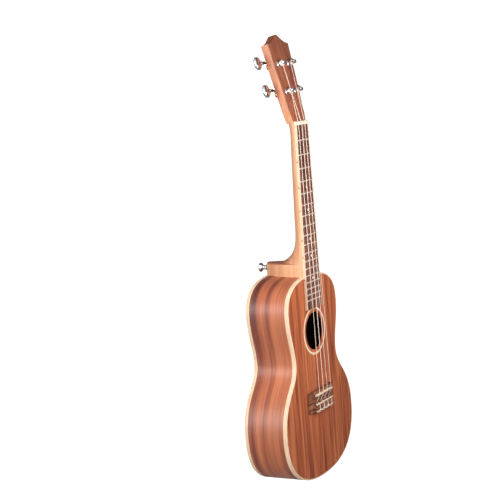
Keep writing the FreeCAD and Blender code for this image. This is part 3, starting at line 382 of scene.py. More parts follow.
def piece(node, vertices, faces, material, body="instrument", uvs=None, crease=CREASE):
    """A new object that rides on a body and takes a CAD node's place."""
    mesh = bpy.data.meshes.new("v_" + node)
    mesh.from_pydata([tuple(v) for v in vertices], [], faces)
    if uvs:
        texture = mesh.uv_layers.new(name="UVMap")
        for loop in mesh.loops:
            texture.data[loop.index].uv = uvs[loop.vertex_index]
    finish_piece(node, mesh, material, body, crease)


def finish_piece(node, mesh, material, body, crease):
    """Shade a mesh smooth, except across edges sharper than crease degrees, and put it in its place."""
    work = bmesh.new()
    work.from_mesh(mesh)
    bmesh.ops.recalc_face_normals(work, faces=work.faces)
    for edge in work.edges:
        edge.smooth = len(edge.link_faces) == 2 and edge.calc_face_angle(0.0) < math.radians(crease)
    for face in work.faces:
        face.smooth = True
    work.to_mesh(mesh)
    work.free()
    mesh.materials.clear()
    mesh.materials.append(material)
    thing = bpy.data.objects.new("v_" + node, mesh)
    bpy.context.scene.collection.objects.link(thing)
    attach(thing, body)
    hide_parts(node)


def from_cad(node, material, bevel, body="instrument"):
    """A CAD node's shape with its sharp edges rounded over."""
    work = bmesh.new()
    work.from_mesh(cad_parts[node].data)
    bmesh.ops.remove_doubles(work, verts=work.verts, dist=WELD_DISTANCE)
    bmesh.ops.dissolve_limit(work, angle_limit=FLAT_ANGLE, verts=work.verts, edges=work.edges)
    if bevel:
        sharp = [e for e in work.edges if len(e.link_faces) == 2 and e.calc_face_angle(0.0) > SHARP_ANGLE]
        bmesh.ops.bevel(work, geom=sharp, offset=bevel, segments=2, profile=0.6, affect="EDGES",
                        clamp_overlap=True)
    mesh = bpy.data.meshes.new(node + "_shape")
    work.to_mesh(mesh)
    work.free()
    finish_piece(node, mesh, material, body, CREASE)


def grid_faces(rows, columns, closed_rows=False, closed_columns=False):
    """Quads over a grid of points stored row by row."""
    faces = []
    for i in range(rows if closed_rows else rows - 1):
        here, there = i * columns, ((i + 1) % rows) * columns
        for j in range(columns if closed_columns else columns - 1):
            after = (j + 1) % columns
            faces.append((here + j, here + after, there + after, there + j))
    return faces


def end_caps(count, around):
    """Two faces that close the first and the last ring of count points."""
    return [tuple(range(around)), tuple(range(count - around, count))]


def tube(path, radius, sides):
    """Points and faces of a round rod along a path of row-frame points."""
    points = []
    tangent = (path[1] - path[0]).normalized()
    across = tangent.orthogonal().normalized()
    for i, centre in enumerate(path):
        ahead = path[min(i + 1, len(path) - 1)]
        behind = path[max(i - 1, 0)]
        new_tangent = (ahead - behind).normalized()
        across = tangent.rotation_difference(new_tangent) @ across
        tangent = new_tangent
        for k in range(sides):
            turn = Quaternion(tangent, 2 * math.pi * k / sides)
            points.append(centre + turn @ across * radius)
    return points, grid_faces(len(path), sides, closed_columns=True) + end_caps(len(points), sides)


def joined(parts):
    """Several (points, faces) as one."""
    points, faces = [], []
    for more_points, more_faces in parts:
        offset = len(points)
        points += more_points
        faces += [tuple(i + offset for i in face) for face in more_faces]
    return points, faces


def curve_through(points, steps):
    """A smooth path through points (Catmull-Rom)."""
    path = []
    for i in range(len(points) - 1):
        p0, p1 = points[max(i - 1, 0)], points[i]
        p2, p3 = points[i + 1], points[min(i + 2, len(points) - 1)]
        for k in range(steps):
            t = k / steps
            path.append(0.5 * (2 * p1 + (p2 - p0) * t + (2 * p0 - 5 * p1 + 4 * p2 - p3) * t * t
                               + (3 * p1 - p0 - 3 * p2 + p3) * t ** 3))
    path.append(points[-1])
    return path


# =====================================================================================================
# Body
# =====================================================================================================
UPPER_HALF, UPPER_Y = 77.5 * MM, 164.0 * MM
WAIST_HALF, WAIST_Y = 65.0 * MM, 94.0 * MM
TOP_POLE, SHOULDER_POLE = 42 * MM, 39 * MM
UPPER_POLE, WAIST_POLE_UP, WAIST_POLE_DOWN = 29 * MM, 23 * MM, 32 * MM
LOWER_POLE_UP, LOWER_POLE_DOWN, TAIL_POLE = 57 * MM, 65 * MM, 53.5 * MM
OUTLINE = (
    ((0, BODY_TOP), (TOP_POLE, BODY_TOP), (UPPER_HALF, UPPER_Y + SHOULDER_POLE), (UPPER_HALF, UPPER_Y)),
    ((UPPER_HALF, UPPER_Y), (UPPER_HALF, UPPER_Y - UPPER_POLE), (WAIST_HALF, WAIST_Y + WAIST_POLE_UP),
     (WAIST_HALF, WAIST_Y)),
    ((WAIST_HALF, WAIST_Y), (WAIST_HALF, WAIST_Y - WAIST_POLE_DOWN), (LOWER_HALF, LOWER_POLE_UP),
     (LOWER_HALF, 0)),
    ((LOWER_HALF, 0), (LOWER_HALF, -LOWER_POLE_DOWN), (TAIL_POLE, TAIL), (0, TAIL)),
)
OUTLINE_STEPS = 40


def outline():
    """The body's outline as ((x, y), outward normal) pairs, from the top round the treble side and back."""
    half = []
    for a, b, c, d in OUTLINE:
        for k in range(OUTLINE_STEPS):
            t = k / OUTLINE_STEPS
            s = 1 - t
            along = [s * s * (b[i] - a[i]) + 2 * s * t * (c[i] - b[i]) + t * t * (d[i] - c[i])
                     for i in (0, 1)]
            length = math.hypot(*along)
            half.append((cubic(a, b, c, d, t), (-along[1] / length, along[0] / length)))
    tail = ((0, TAIL), (0, -1))
    mirrored = [((-p[0], p[1]), (-n[0], n[1])) for p, n in reversed(half[1:])]
    return half + [tail] + mirrored


BODY_OUTLINE = outline()


def moved_in(inset):
    """The outline's points moved inwards."""
    return [(p[0] - n[0] * inset, p[1] - n[1] * inset) for p, n in BODY_OUTLINE]


def arc(centre, radius, start, end, steps):
    """Points of an arc in a profile plane, angles in degrees."""
    points = []
    for k in range(steps + 1):
        angle = math.radians(mix(start, end, k / steps))
        points.append((centre[0] + radius * math.cos(angle), centre[1] + radius * math.sin(angle)))
    return points


def build_bindings():
    """A cream strip round each edge of the body, with its outer corner rounded over."""
    round_over = 1.1 * MM
    strips = (("binding_front", FRONT, FRONT - BINDING_DEPTH), ("binding_back", 0.0, BINDING_DEPTH))
    for node, face, inner in strips:
        outwards = 1 if face > inner else -1
        corner = (round_over, face - outwards * round_over)
        rounded = arc(corner, round_over, 90 * outwards, 180 * outwards, 6)
        profile = [(BINDING_WIDTH, inner), (BINDING_WIDTH, face)] + rounded + [(0, inner)]
        points = []
        for p, n in BODY_OUTLINE:
            points += [row(p[0] - n[0] * inset, p[1] - n[1] * inset, height) for inset, height in profile]
        piece(node, points, grid_faces(len(BODY_OUTLINE), len(profile), True, True), CREAM)


def build_sides():
    """Both sides, each a thin bent sheet.

    Its texture coordinates are the height above the back and the length round the body, so that the grain
    follows the bend; a shift in the first marks the inner face, which takes painted shade, and another gives
    each side its own figure.
    """
    count = len(BODY_OUTLINE)
    half = count // 2
    lengths = [0.0]
    outer = moved_in(0.0)
    for k in range(1, count + 1):
        a, b = outer[k - 1], outer[k % count]
        lengths.append(lengths[-1] + math.hypot(b[0] - a[0], b[1] - a[1]))
    set_back = moved_in(0.03 * MM)
    inner = moved_in(BINDING_WIDTH)
    low, high = BINDING_DEPTH, FRONT - BINDING_DEPTH
    sides = (("side_treble", range(0, half + 1), 0.0), ("side_bass", range(half, count + 1), 0.5))
    for node, indices, figure_shift in sides:
        points, uvs = [], []
        for k in indices:
            outside, inside = set_back[k % count], inner[k % count]
            ring = ((outside, low, 0.0), (outside, high, 0.0),
                    (inside, high, INNER_FACE_SHIFT), (inside, low, INNER_FACE_SHIFT))
            for (x, y), z, face_shift in ring:
                points.append(row(x, y, z))
                uvs.append((z + figure_shift + face_shift, lengths[k]))
        faces = grid_faces(len(indices), 4, closed_columns=True) + end_caps(len(points), 4)
        piece(node, points, faces, WALNUT_SIDE, uvs=uvs)


def build_soundboard():
    """The front plate, as rings between the soundhole and the inside of the binding."""
    rim = moved_in(BINDING_WIDTH - 0.02 * MM)
    rings = 10
    edge_round = 0.3 * MM
    softened = 0.3 * edge_round
    directions = []
    for x, y in rim:
        angle = math.atan2(y - HOLE_CENTRE_Y, x)
        directions.append((math.cos(angle), math.sin(angle)))
    profile = ((0.0, FRONT - PLATE), (0.0, FRONT - edge_round), (softened, FRONT - softened),
               (edge_round, FRONT))
    points = []
    for extra, height in profile:
        radius = HOLE_RADIUS + extra
        for cosine, sine in directions:
            points.append(row(cosine * radius, HOLE_CENTRE_Y + sine * radius, height))
    for k in range(1, rings + 1):
        t = k / rings
        for (cosine, sine), (x, y) in zip(directions, rim):
            radius = HOLE_RADIUS + edge_round
            points.append(row(mix(cosine * radius, x, t), mix(HOLE_CENTRE_Y + sine * radius, y, t), FRONT))
    points += [row(x, y, FRONT - PLATE) for x, y in rim]
    rows = len(points) // len(rim)
    faces = grid_faces(rows, len(rim), closed_rows=True, closed_columns=True)
    piece("soundboard", points, faces, WALNUT_FRONT, crease=50)


def build_rosette():
    """The cream ring round the soundhole, standing a hair proud with softened edges."""
    sides = 160
    inner = RING_OUTER - RING_WIDTH
    proud = 0.05 * MM
    soft = 0.35 * MM
    floor = FRONT - 1.0 * MM
    profile = ((inner, floor), (inner, FRONT), (inner + soft, FRONT + proud),
               (RING_OUTER - soft, FRONT + proud), (RING_OUTER, FRONT), (RING_OUTER, floor))
    points = []
    for k in range(sides):
        turn = 2 * math.pi * k / sides
        for radius, z in profile:
            points.append(row(radius * math.cos(turn), HOLE_CENTRE_Y + radius * math.sin(turn), z))
    piece("rosette", points, grid_faces(sides, len(profile), True, True), RING_CREAM)


# =====================================================================================================
# Neck and headstock
# =====================================================================================================
# The hollow under the heel, as cubic poles of (depth behind the board's underside, height above the ledge)
HOLLOW_START = 51 * MM
HOLLOW_BEND = (18.7 * MM, 22.9 * MM)
HOLLOW_KNEE = ((HOLLOW_START, 0), (42.5 * MM, 0), (25 * MM, 7.3 * MM), HOLLOW_BEND)
HOLLOW_RISE = (HOLLOW_BEND, (13.2 * MM, 36.6 * MM), (15.4 * MM, 55.5 * MM), (SHAFT_DEPTH_HEEL, 69.1 * MM))
SHAFT_END = HEEL_LEDGE + HOLLOW_RISE[-1][1]
HEEL_LIP = 1.2 * MM
HEEL_CROWN = 5.0 * MM
HEEL_CREST_SHARE = 0.3
HEEL_CREST = HEEL_LEDGE - 0.3 * MM
HEEL_CORNER = 1.5 * MM
HEEL_DEPTH = FRONT + HEEL_PROUD

# How square a section is: the poles at its shoulder and its back, as shares of depth and half width
SHAFT_SHOULDER = 0.65
SHAFT_BACK = 0.62
HEEL_SHOULDER = 0.53
SQUARE = 0.995
SECTION_STEPS = 20

THROAT = 16 * MM
THROAT_TOP = 12 * MM
THROAT_STEPS = 10
THROAT_FLARE = 2.2 * MM
FLARE_FROM = 0.35               # the share of the throat's height at which the flare starts
WIDENING_PACE = 1.4
THROAT_SQUARENESS = 0.95
FACE_SETBACK = 1.6 * MM


def board_half(y):
    """Half the fingerboard's width at y."""
    slope = (JOINT_HALF - NUT_HALF) / (NUT_Y - BODY_TOP)
    return NUT_HALF + (NUT_Y - y) * slope


def section_point(t, half, depth, square, share):
    """(x, depth, rise) from the fingerboard's edge (t = 0) to the middle of the back (t = 1).

    A share below 1 narrows the back, which rounds the heel's ledge over and lets its back end rise.
    """
    heel = max(0.0, (depth - SHAFT_DEPTH_HEEL) / (HEEL_DEPTH - SHAFT_DEPTH_HEEL)) * (1 - square)
    shoulder = mix(mix(SHAFT_SHOULDER, HEEL_SHOULDER, heel), SQUARE, square)
    back = share * mix(mix(SHAFT_BACK, HEEL_BACK_HALF / half, heel), SQUARE, square)
    x, z = cubic((half, 0), (half, shoulder * depth), (back * half, depth), (0, depth), t)
    past_hollow = max(0.0, (depth - HOLLOW_START) / (HEEL_DEPTH - HOLLOW_START))
    rise = HEEL_LIP * past_hollow * smooth(t) if share < 1.0 else 0.0
    return x, z, rise


def throat_sections():
    """(y, half width, depth, squareness, front drop, share) from inside the headstock to below the nut."""
    sections = []
    for k in range(THROAT_STEPS + 1):
        t = 1 - k / THROAT_STEPS
        y = mix(NUT_Y - THROAT, NUT_Y + NUT_THICK + THROAT_TOP, t)
        above_nut = max(0.0, y - NUT_Y - NUT_THICK)
        lean = above_nut * math.sin(HEAD_LEAN)
        head_back = FRONT - HEAD_FACE_AT_NUT - HEAD_BACK / math.cos(HEAD_LEAN) + lean
        depth = mix(SHAFT_DEPTH_NUT, max(head_back, SHAFT_DEPTH_NUT), smooth(t))
        flare = NUT_HALF + THROAT_FLARE * smooth((t - FLARE_FROM) / (1 - FLARE_FROM))
        half = mix(board_half(y), flare, smooth(t * WIDENING_PACE))
        drop = lean + FACE_SETBACK if above_nut else 0.0
        sections.append((y, half, depth, smooth(t) * THROAT_SQUARENESS, drop, 1.0))
    return sections


def shaft_sections():
    """The shaft, evenly deepening to where the heel's hollow starts."""
    sections = []
    steps = 12
    for k in range(1, steps + 1):
        y = mix(NUT_Y - THROAT, SHAFT_END, k / steps)
        covered = (NUT_Y - y) / (NUT_Y - SHAFT_END)
        depth = mix(SHAFT_DEPTH_NUT, SHAFT_DEPTH_HEEL, covered)
        sections.append((y, board_half(y), depth, 0.0, 0.0, 1.0))
    return sections


def heel_sections():
    """Round the hollow, out along the ledge, over the heel's end and down into the body."""
    sections = []
    for poles, steps in ((HOLLOW_RISE, 10), (HOLLOW_KNEE, 22)):
        for k in range(1, steps + 1):
            depth, above = cubic(*poles, 1 - k / steps)
            shaftness = min(1.0, (HOLLOW_START - depth) / (HOLLOW_START - HOLLOW_BEND[0]))
            share = mix(HEEL_CREST_SHARE, 1.0, shaftness)
            sections.append((HEEL_LEDGE + above, board_half(HEEL_LEDGE + above), depth, 0.0, 0.0, share))
    for t in (0.2, 0.4, 0.6, 0.8):
        y = mix(HEEL_LEDGE, HEEL_CREST, t)
        depth = mix(HOLLOW_START, HEEL_DEPTH - HEEL_CORNER, t)
        sections.append((y, board_half(y), depth, 0.0, 0.0, HEEL_CREST_SHARE))
    steps = 10
    for k in range(steps):
        angle = math.pi / 2 * (1 - k / steps)
        y = HEEL_CREST - HEEL_CROWN * (1 - math.sin(angle))
        depth = HEEL_DEPTH - HEEL_CORNER * (1 - math.cos(angle))
        sections.append((y, board_half(y), depth, 0.0, 0.0, mix(HEEL_CREST_SHARE, 1.0, math.cos(angle))))
    for y in (HEEL_CREST - HEEL_CROWN, BODY_TOP - 2 * MM):
        sections.append((y, board_half(y), HEEL_DEPTH, 0.0, 0.0, 1.0))
    return sections


def build_neck():
    """Shaft and heel as one skin, and the headstock's core as a rounded slab."""
    points = []
    sections = throat_sections() + shaft_sections() + heel_sections()
    for y, half, depth, square, drop, share in sections:
        places = [k / SECTION_STEPS for k in range(SECTION_STEPS + 1)]
        side = [section_point(t, half, depth, square, share) for t in places]
        loop = side + [(-x, z, rise) for x, z, rise in reversed(side[:-1])]
        points += [row(x, y + rise, FRONT - max(z, drop)) for x, z, rise in loop]
    around = 2 * SECTION_STEPS + 1
    faces = grid_faces(len(sections), around, closed_columns=True) + end_caps(len(points), around)
    slab = head_slab(HEAD_BACK, -OVERLAY, 0.7 * MM, 0.05 * MM)
    piece("neck", *joined([(points, faces), slab]), NECK_WOOD, crease=40)


HEAD_BASE = 18.0 * MM
HEAD_CORNER = (30.0 * MM, 111.5 * MM)
HEAD_PEAK = 124.5 * MM
HEAD_STEPS = 20


def head_outline():
    """The headstock's outline as plan points in the head frame, anticlockwise from the nut's treble end."""
    corner_y = HEAD_CORNER[1]
    flank = ((HEAD_BASE, 0), (22.5 * MM, 16 * MM), (26.0 * MM, 60 * MM), HEAD_CORNER)
    crown = (HEAD_CORNER, (13.5 * MM, corner_y + 1.5 * MM), (8.0 * MM, HEAD_PEAK - 2.5 * MM), (0, HEAD_PEAK))
    half = [cubic(*poles, k / HEAD_STEPS) for poles in (flank, crown) for k in range(HEAD_STEPS)]
    return half + [(0, HEAD_PEAK)] + [(-x, y) for x, y in reversed(half)]


def inset_loop(loop, amount):
    """A closed anticlockwise loop moved inwards along its mitred normals."""
    moved = []
    for k, (x, y) in enumerate(loop):
        before_x, before_y = loop[k - 1]
        after_x, after_y = loop[(k + 1) % len(loop)]
        arriving = Vector((y - before_y, before_x - x)).normalized()
        leaving = Vector((after_y - y, x - after_x)).normalized()
        normal = arriving + leaving
        normal = normal / max(0.35, normal.length_squared / 2)
        moved.append((x - normal.x * amount, y - normal.y * amount))
    return moved


def head_slab(low, high, round_back, round_front):
    """Points and faces of a slab with the headstock's outline and rounded edges."""
    loop = head_outline()
    angles = [share * math.pi / 2 for share in (0.0, 0.3, 0.7, 1.0)]
    layers = [(round_back * (1 - math.sin(a)), low + round_back * (1 - math.cos(a))) for a in angles]
    layers += [(round_front * (1 - math.cos(a)), high - round_front * (1 - math.sin(a))) for a in angles]
    points = []
    for inset, z in layers:
        points += [head(x, y, z) for x, y in inset_loop(loop, inset)]
    faces = grid_faces(len(layers), len(loop), closed_columns=True) + end_caps(len(points), len(loop))
    return points, faces


def build_overlay():
    """The veneer on the headstock's face."""
    points, faces = head_slab(-OVERLAY, 0.0, 0.03 * MM, 0.35 * MM)
    piece("head_overlay", points, faces, VENEER, crease=40)


# =====================================================================================================
# Strings, with their windings on the posts and their knots on the tie block
# =====================================================================================================
def inward(name):
    """1 if the head's middle is towards +x from a string's post, or else -1."""
    return -1 if POSTS[name][0] > 0 else 1


def build_string(name):
    """A string from its winding over the nut and the saddle, through the tie block and round its knot."""
    radius = STRING_RADIUS[name]
    post_x, post_y = POSTS[name]
    leaving = head(post_x + inward(name) * (POST_RADIUS + radius), post_y, WIND_HEIGHT)
    peak_height = BOARD_TOP + NUT_PEAK_HEIGHT + radius
    peak = row(STRING_PLACE[name] * NUT_SPACING, NUT_Y + 1.5 * MM, peak_height)
    x = STRING_PLACE[name] * SADDLE_SPACING
    saddle = row(x, SADDLE_Y, SADDLE_TOP + radius)
    to_nut = [mix(leaving, peak, k / 6) for k in range(6)]
    speaking = [mix(peak, saddle, k / 12) for k in range(12)]
    over = radius + 0.05 * MM
    through_block = [
        saddle,
        row(x, TIE_FRONT + 0.8 * MM, TIE_HOLE),
        row(x, TIE_BACK - 0.6 * MM, TIE_HOLE),
        row(x + 0.3 * MM, TIE_BACK - 1.6 * MM, TIE_HOLE + 1.2 * MM),
    ]
    over_block = [
        row(x + 0.9 * MM, TIE_BACK - 0.9 * MM, TIE_TOP - 0.2 * MM),
        row(x + 1.2 * MM, TIE_BACK + 1.2 * MM, TIE_TOP + over),
        row(x + 0.9 * MM, mix(TIE_BACK, TIE_FRONT, 0.5), TIE_TOP + over),
        row(x + 0.2 * MM, TIE_FRONT - 0.8 * MM, TIE_TOP + over),
    ]
    under_itself = [
        row(x - 0.9 * MM, TIE_FRONT + 1.2 * MM, TIE_TOP - 1.2 * MM),
        row(x - 1.3 * MM, TIE_FRONT + 0.9 * MM, TIE_TOP + 0.1 * MM),
        row(x - 0.6 * MM, TIE_FRONT - 1.6 * MM, TIE_TOP + over + radius),
        row(x + 1.1 * MM, mix(TIE_BACK, TIE_FRONT, 0.62), TIE_TOP + 2.4 * over),
        row(x + 2.2 * MM, mix(TIE_BACK, TIE_FRONT, 0.40), TIE_TOP + over),
    ]
    free_end = [
        row(x + 0.9 * MM, TIE_BACK + 1.6 * MM, TIE_TOP + 2.6 * over),
        row(x - 1.6 * MM, TIE_BACK + 2.4 * MM, TIE_TOP + over + 0.3 * MM),
        row(x - 3.2 * MM, TIE_BACK + 2.2 * MM, TIE_TOP + over + 0.7 * MM),
    ]
    knot = curve_through(through_block + over_block + under_itself + free_end, 7)
    points, faces = tube(to_nut + speaking + knot, radius, 10)
    piece("string_" + name, points, faces, NYLON, crease=80)


WIND_TURNS = 3.75
WIND_STEPS = 24
WIND_START = 0.4
WIND_PITCH = 2.06


def build_winding(name):
    """Turns of string up round the post from where the string leaves it, ending through the cross-hole."""
    radius = STRING_RADIUS[name]
    x, y = POSTS[name]
    around = POST_RADIUS + radius
    start_angle = 0 if inward(name) > 0 else math.pi
    path = []
    for k in range(int(WIND_TURNS * WIND_STEPS) + 1):
        angle = start_angle - inward(name) * 2 * math.pi * k / WIND_STEPS
        climb = WIND_HEIGHT + (k / WIND_STEPS - WIND_START) * WIND_PITCH * radius
        path.append(head(x + around * math.cos(angle), y + around * math.sin(angle), climb))
    end_angle = start_angle - inward(name) * 2 * math.pi * WIND_TURNS
    hole_height = WIND_HEIGHT + 3.2 * MM
    tail = [path[-1]]
    for reach, lift in ((1.1 * MM, 0.0), (-4.6 * MM, 0.3 * MM)):
        end_x, end_y = x + reach * math.cos(end_angle), y + reach * math.sin(end_angle)
        tail.append(head(end_x, end_y, hole_height + lift))
    points, faces = tube(path + curve_through(tail, 5)[1:], radius, 8)
    piece("string_wind_" + name, points, faces, NYLON, "post_" + name, crease=80)


# =====================================================================================================
# Finger buttons
# =====================================================================================================
BUTTON_START = 18.5 * MM
BUTTON_END = 36.5 * MM
BUTTON_REACH = 7.6 * MM         # half the oval along the shaft
BUTTON_HALF_WIDTH = 9.1 * MM
BUTTON_HALF_THICK = 3.7 * MM
BUTTON_OVAL = 2.5               # 2 is an ellipse, and more is squarer
BUTTON_RINGS, BUTTON_AROUND = 20, 44
RIM_ROUNDING, DOME_ROUNDING = 0.75, 0.85
COLLAR_PINCH = 0.16
DISH_DEPTH, DISH_SPREAD = 0.36, 0.30
COLLAR_PROFILE = ((0.0, 2.0), (0.0, 2.7), (0.4, 3.0), (0.9, 2.75), (1.5, 2.5), (2.5, 2.7), (3.6, 3.1),
                  (4.4, 2.6))   # millimetres along the shaft, radius
COLLAR_SIDES = 28


def pillow_point(latitude, longitude):
    """(reach, width, lift) of a point on the button's pillow, from its middle."""
    cosine, sine = math.cos(longitude), math.sin(longitude)
    oval = 1.0 / (abs(cosine) ** BUTTON_OVAL + abs(sine) ** BUTTON_OVAL) ** (1 / BUTTON_OVAL)
    spread = oval * math.cos(latitude) ** RIM_ROUNDING
    u, v = cosine * spread, sine * spread
    pinch = 1.0 - COLLAR_PINCH * smooth((-u - 0.2) / 0.8)
    dome = math.copysign(abs(math.sin(latitude)) ** DOME_ROUNDING, latitude)
    dish = 1.0 - DISH_DEPTH * math.exp(-(u * u + v * v) / DISH_SPREAD)
    return u * BUTTON_REACH, v * BUTTON_HALF_WIDTH * pinch, dome * BUTTON_HALF_THICK * dish


def build_button(name):
    """A chrome oval button: a pillow, narrower at its collar and dished where thumb and finger press."""
    x, y = POSTS[name]
    outward = -inward(name)
    flat_turn = 0.0 if x < 0 else math.pi / 2

    def place(along, across, up):
        turned_across = across * math.cos(flat_turn) - up * math.sin(flat_turn)
        turned_up = across * math.sin(flat_turn) + up * math.cos(flat_turn)
        return head(x + outward * along, y + WORM_OFFSET + turned_across, WORM_AXIS_Z + turned_up)

    points = []
    for i in range(BUTTON_RINGS + 1):
        for j in range(BUTTON_AROUND):
            latitude = math.pi * (i / BUTTON_RINGS - 0.5)
            reach, width, lift = pillow_point(latitude, 2 * math.pi * j / BUTTON_AROUND)
            points.append(place(BUTTON_END - BUTTON_REACH + reach, width, lift))
    pillow = (points, grid_faces(BUTTON_RINGS + 1, BUTTON_AROUND, closed_columns=True))
    collar = []
    for along, radius in COLLAR_PROFILE:
        for j in range(COLLAR_SIDES):
            turn = 2 * math.pi * j / COLLAR_SIDES
            across, up = radius * MM * math.cos(turn), radius * MM * math.sin(turn)
            collar.append(place(BUTTON_START + along * MM, across, up))
    collar_faces = grid_faces(len(COLLAR_PROFILE), COLLAR_SIDES, closed_columns=True)
    shape = joined([pillow, (collar, collar_faces)])
    piece("tuner_button_" + name, *shape, CHROME, "button_" + name, crease=50)


# =====================================================================================================
# Put the instrument together
# =====================================================================================================
build_bindings()
build_sides()
build_soundboard()
build_rosette()
build_neck()
build_overlay()
for string in POSTS:
    build_string(string)
    build_winding(string)
    build_button(string)

# CAD shapes whose edges are rounded over: node, material and the rounding in millimetres
FIXED_SHAPES = (
    ("fingerboard", BOARD_WOOD, 0.12),
    ("fingerboard_binding", CREAM, 0.25),
    ("frets", FRET_METAL, 0.0),
    ("face_dots", PEARL, 0.0),
    ("side_dots", DARK_PLASTIC, 0.0),
    ("nut", IVORY, 0.12),
    ("bridge", BRIDGE_WOOD, 0.35),
    ("saddle", IVORY, 0.25),
    ("tie_block_strips", IVORY, 0.15),
    ("strap_button", CHROME, 0.25),
    ("strap_button_screw", CHROME, 0.12),
    ("machine_plates", CHROME, 0.20),
    ("machine_screws", CHROME, 0.10),
    ("post_bushings", CHROME, 0.20),
)
for node, material, rounding in FIXED_SHAPES:
    from_cad(node, material, rounding * MM)

# The same for each tuning machine, with the body that the shape turns with
MACHINE_SHAPES = (
    ("tuner_post_", CHROME, 0.15, "post_"),
    ("tuner_wheel_", BRASS, 0.06, "post_"),
    ("wheel_screw_", STEM_CHROME, 0.12, "post_"),
    ("worm_shaft_", STEM_CHROME, 0.08, "button_"),
)
for string in POSTS:
    for node, material, rounding, body in MACHINE_SHAPES:
        from_cad(node + string, material, rounding * MM, body + string)

# CAD nodes that stay as they are, with a better material
SHOWN_AS_BUILT = {"back_plate": WALNUT_BACK, "neck_block": SPRUCE_PAINTED_SHADE, "tail_block": SPRUCE_PAINTED_SHADE, "linings": SPRUCE_PAINTED_SHADE,
                  "soundboard_braces": SPRUCE_PAINTED_SHADE, "back_braces": SPRUCE_PAINTED_SHADE, "bridge_patch": SPRUCE_PAINTED_SHADE,
                  "neck_dowels": SPRUCE_PAINTED_SHADE}
for node, material in SHOWN_AS_BUILT.items():
    for material_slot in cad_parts[node].material_slots:
        material_slot.material = material


# =====================================================================================================
# Floor, light and camera
# =====================================================================================================
FLOOR_LEVEL = -0.40
FLOOR_NEAR = -6.0
FLOOR_HALF_WIDTH = 8.0
BACKDROP_PLACE = 5.0
BACKDROP_TOP = 5.0
BACKDROP_BEND = 1.2
BACKDROP_HEADING = Vector((0.865, 0.484, 0)).normalized()
FLOOR_GLOW = 0.05               # light that the floor gives off besides what the camera sees


def build_floor():
    """A pale sweep, curved up behind, well below the hanging instrument."""
    bend_start = BACKDROP_PLACE - BACKDROP_BEND
    line = [(FLOOR_NEAR, FLOOR_LEVEL), (bend_start, FLOOR_LEVEL)]
    for degrees in range(10, 91, 10):
        angle = math.radians(degrees)
        line.append((bend_start + BACKDROP_BEND * math.sin(angle),
                     FLOOR_LEVEL + BACKDROP_BEND - BACKDROP_BEND * math.cos(angle)))
    line.append((BACKDROP_PLACE, BACKDROP_TOP))
    sideways = Vector((-BACKDROP_HEADING.y, BACKDROP_HEADING.x, 0))
    points = []
    for forward, up in line:
        for across in (-FLOOR_HALF_WIDTH, FLOOR_HALF_WIDTH):
            points.append(tuple(BACKDROP_HEADING * forward + sideways * across + Vector((0, 0, up))))
    mesh = bpy.data.meshes.new("floor")
    mesh.from_pydata(points, [], grid_faces(len(line), 2))
    mesh.materials.append(pale_floor())
    floor = bpy.data.objects.new("floor", mesh)
    bpy.context.scene.collection.objects.link(floor)


def pale_floor():
    """Matt grey, which the camera sees as white and which throws little light back up."""
    recipe = Recipe("pale_floor")
    cloud = recipe.noise(recipe.stretched((3, 3, 3)), 2.0)
    rays = recipe.nodes.new("ShaderNodeLightPath")
    glow = recipe.maths("ADD", rays.outputs["Is Camera Ray"], FLOOR_GLOW)
    recipe.set(Base_Color=recipe.ramp(cloud, (0.3, 0.46), (0.7, 0.50)), Roughness=0.9)
    recipe.set(Emission_Color=(1, 1, 1, 1), Emission_Strength=glow)
    return recipe.material


def area_light(name, position, target, size, power):
    """A soft lamp that the camera doesn't see."""
    lamp = bpy.data.lights.new(name, "AREA")
    lamp.shape = "RECTANGLE"
    lamp.size, lamp.size_y = size
    lamp.energy = power
    thing = bpy.data.objects.new(name, lamp)
    thing.location = position
    thing.rotation_euler = (Vector(target) - Vector(position)).to_track_quat("-Z", "Y").to_euler()
    thing.visible_camera = False
    bpy.context.scene.collection.objects.link(thing)


AMBIENT = 0.23
# Greys that shiny parts reflect, from the bass side (0) to the treble side (1)
REFLECTED_BANDS = ((0.0, 0.85), (0.30, 0.95), (0.50, 0.25), (0.75, 0.10), (1.0, 0.10))


def grey(value):
    return (value, value, value, 1.0)


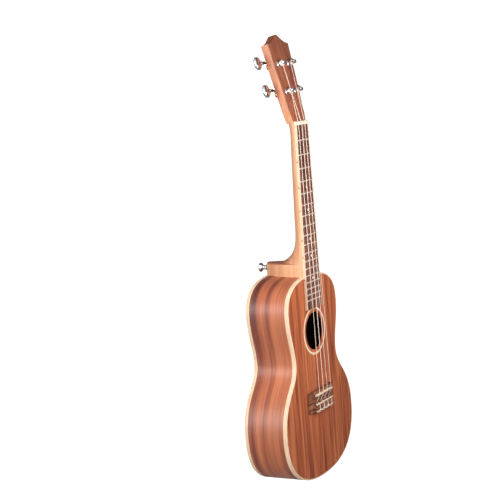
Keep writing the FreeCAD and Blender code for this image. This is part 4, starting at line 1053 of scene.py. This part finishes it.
def build_world():
    """White where the camera sees it, dim as a source of light, and banded for reflections."""
    world = bpy.data.worlds.new("studio")
    world.use_nodes = True
    nodes, links = world.node_tree.nodes, world.node_tree.links
    rays = nodes.new("ShaderNodeLightPath")
    direction = nodes.new("ShaderNodeTexCoord")
    split = nodes.new("ShaderNodeSeparateXYZ")
    spread = nodes.new("ShaderNodeMapRange")
    spread.inputs["From Min"].default_value = -1.0
    bands = nodes.new("ShaderNodeValToRGB")
    links.new(direction.outputs["Generated"], split.inputs[0])
    links.new(split.outputs["X"], spread.inputs["Value"])
    links.new(spread.outputs["Result"], bands.inputs["Fac"])
    stops = bands.color_ramp.elements
    while len(stops) < len(REFLECTED_BANDS):
        stops.new(0.5)
    for stop, (place, shade) in zip(stops, REFLECTED_BANDS):
        stop.position = place
        stop.color = grey(shade)
    lit = nodes.new("ShaderNodeMix")
    lit.data_type = "RGBA"
    links.new(rays.outputs["Is Glossy Ray"], lit.inputs[MIX_FACTOR])
    lit.inputs[MIX_FIRST].default_value = grey(AMBIENT)
    links.new(bands.outputs["Color"], lit.inputs[MIX_SECOND])
    seen = nodes.new("ShaderNodeMix")
    seen.data_type = "RGBA"
    links.new(rays.outputs["Is Camera Ray"], seen.inputs[MIX_FACTOR])
    links.new(lit.outputs[MIX_RESULT], seen.inputs[MIX_FIRST])
    seen.inputs[MIX_SECOND].default_value = grey(1.0)
    links.new(seen.outputs[MIX_RESULT], nodes["Background"].inputs["Color"])
    bpy.context.scene.world = world


VIEW_AZIMUTH = math.radians(209.2)
VIEW_ELEVATION = math.radians(7.7)
VIEW_ROLL = math.radians(4.4)
VIEW_DISTANCE = 1.967
VIEW_LENS = 100.5
SENSOR_WIDTH = 36.0
AIM = Vector((-0.0380, 0.0073, 0.2526))


def build_camera():
    """A long lens that looks at the instrument from the bass side, a little from above and rolled."""
    towards = Vector((math.cos(VIEW_ELEVATION) * math.cos(VIEW_AZIMUTH),
                      math.cos(VIEW_ELEVATION) * math.sin(VIEW_AZIMUTH), math.sin(VIEW_ELEVATION)))
    data = bpy.data.cameras.new("camera")
    data.lens = VIEW_LENS
    data.sensor_width = SENSOR_WIDTH
    camera = bpy.data.objects.new("camera", data)
    camera.location = AIM + towards * VIEW_DISTANCE
    level = (-towards).to_track_quat("-Z", "Y")
    camera.rotation_mode = "QUATERNION"
    camera.rotation_quaternion = level @ Quaternion((0, 0, 1), -VIEW_ROLL)
    bpy.context.scene.collection.objects.link(camera)
    bpy.context.scene.camera = camera


build_floor()
build_world()
area_light("key", position=(-1.85, 0.55, 0.62), target=(0, 0, 0.15), size=(1.2, 1.1), power=27.0)
area_light("front", position=(-0.22, -0.50, 0.40), target=(-0.03, 0, 0.15), size=(0.3, 0.3), power=3.4)
build_camera()
bpy.context.scene.view_settings.view_transform = "Standard"
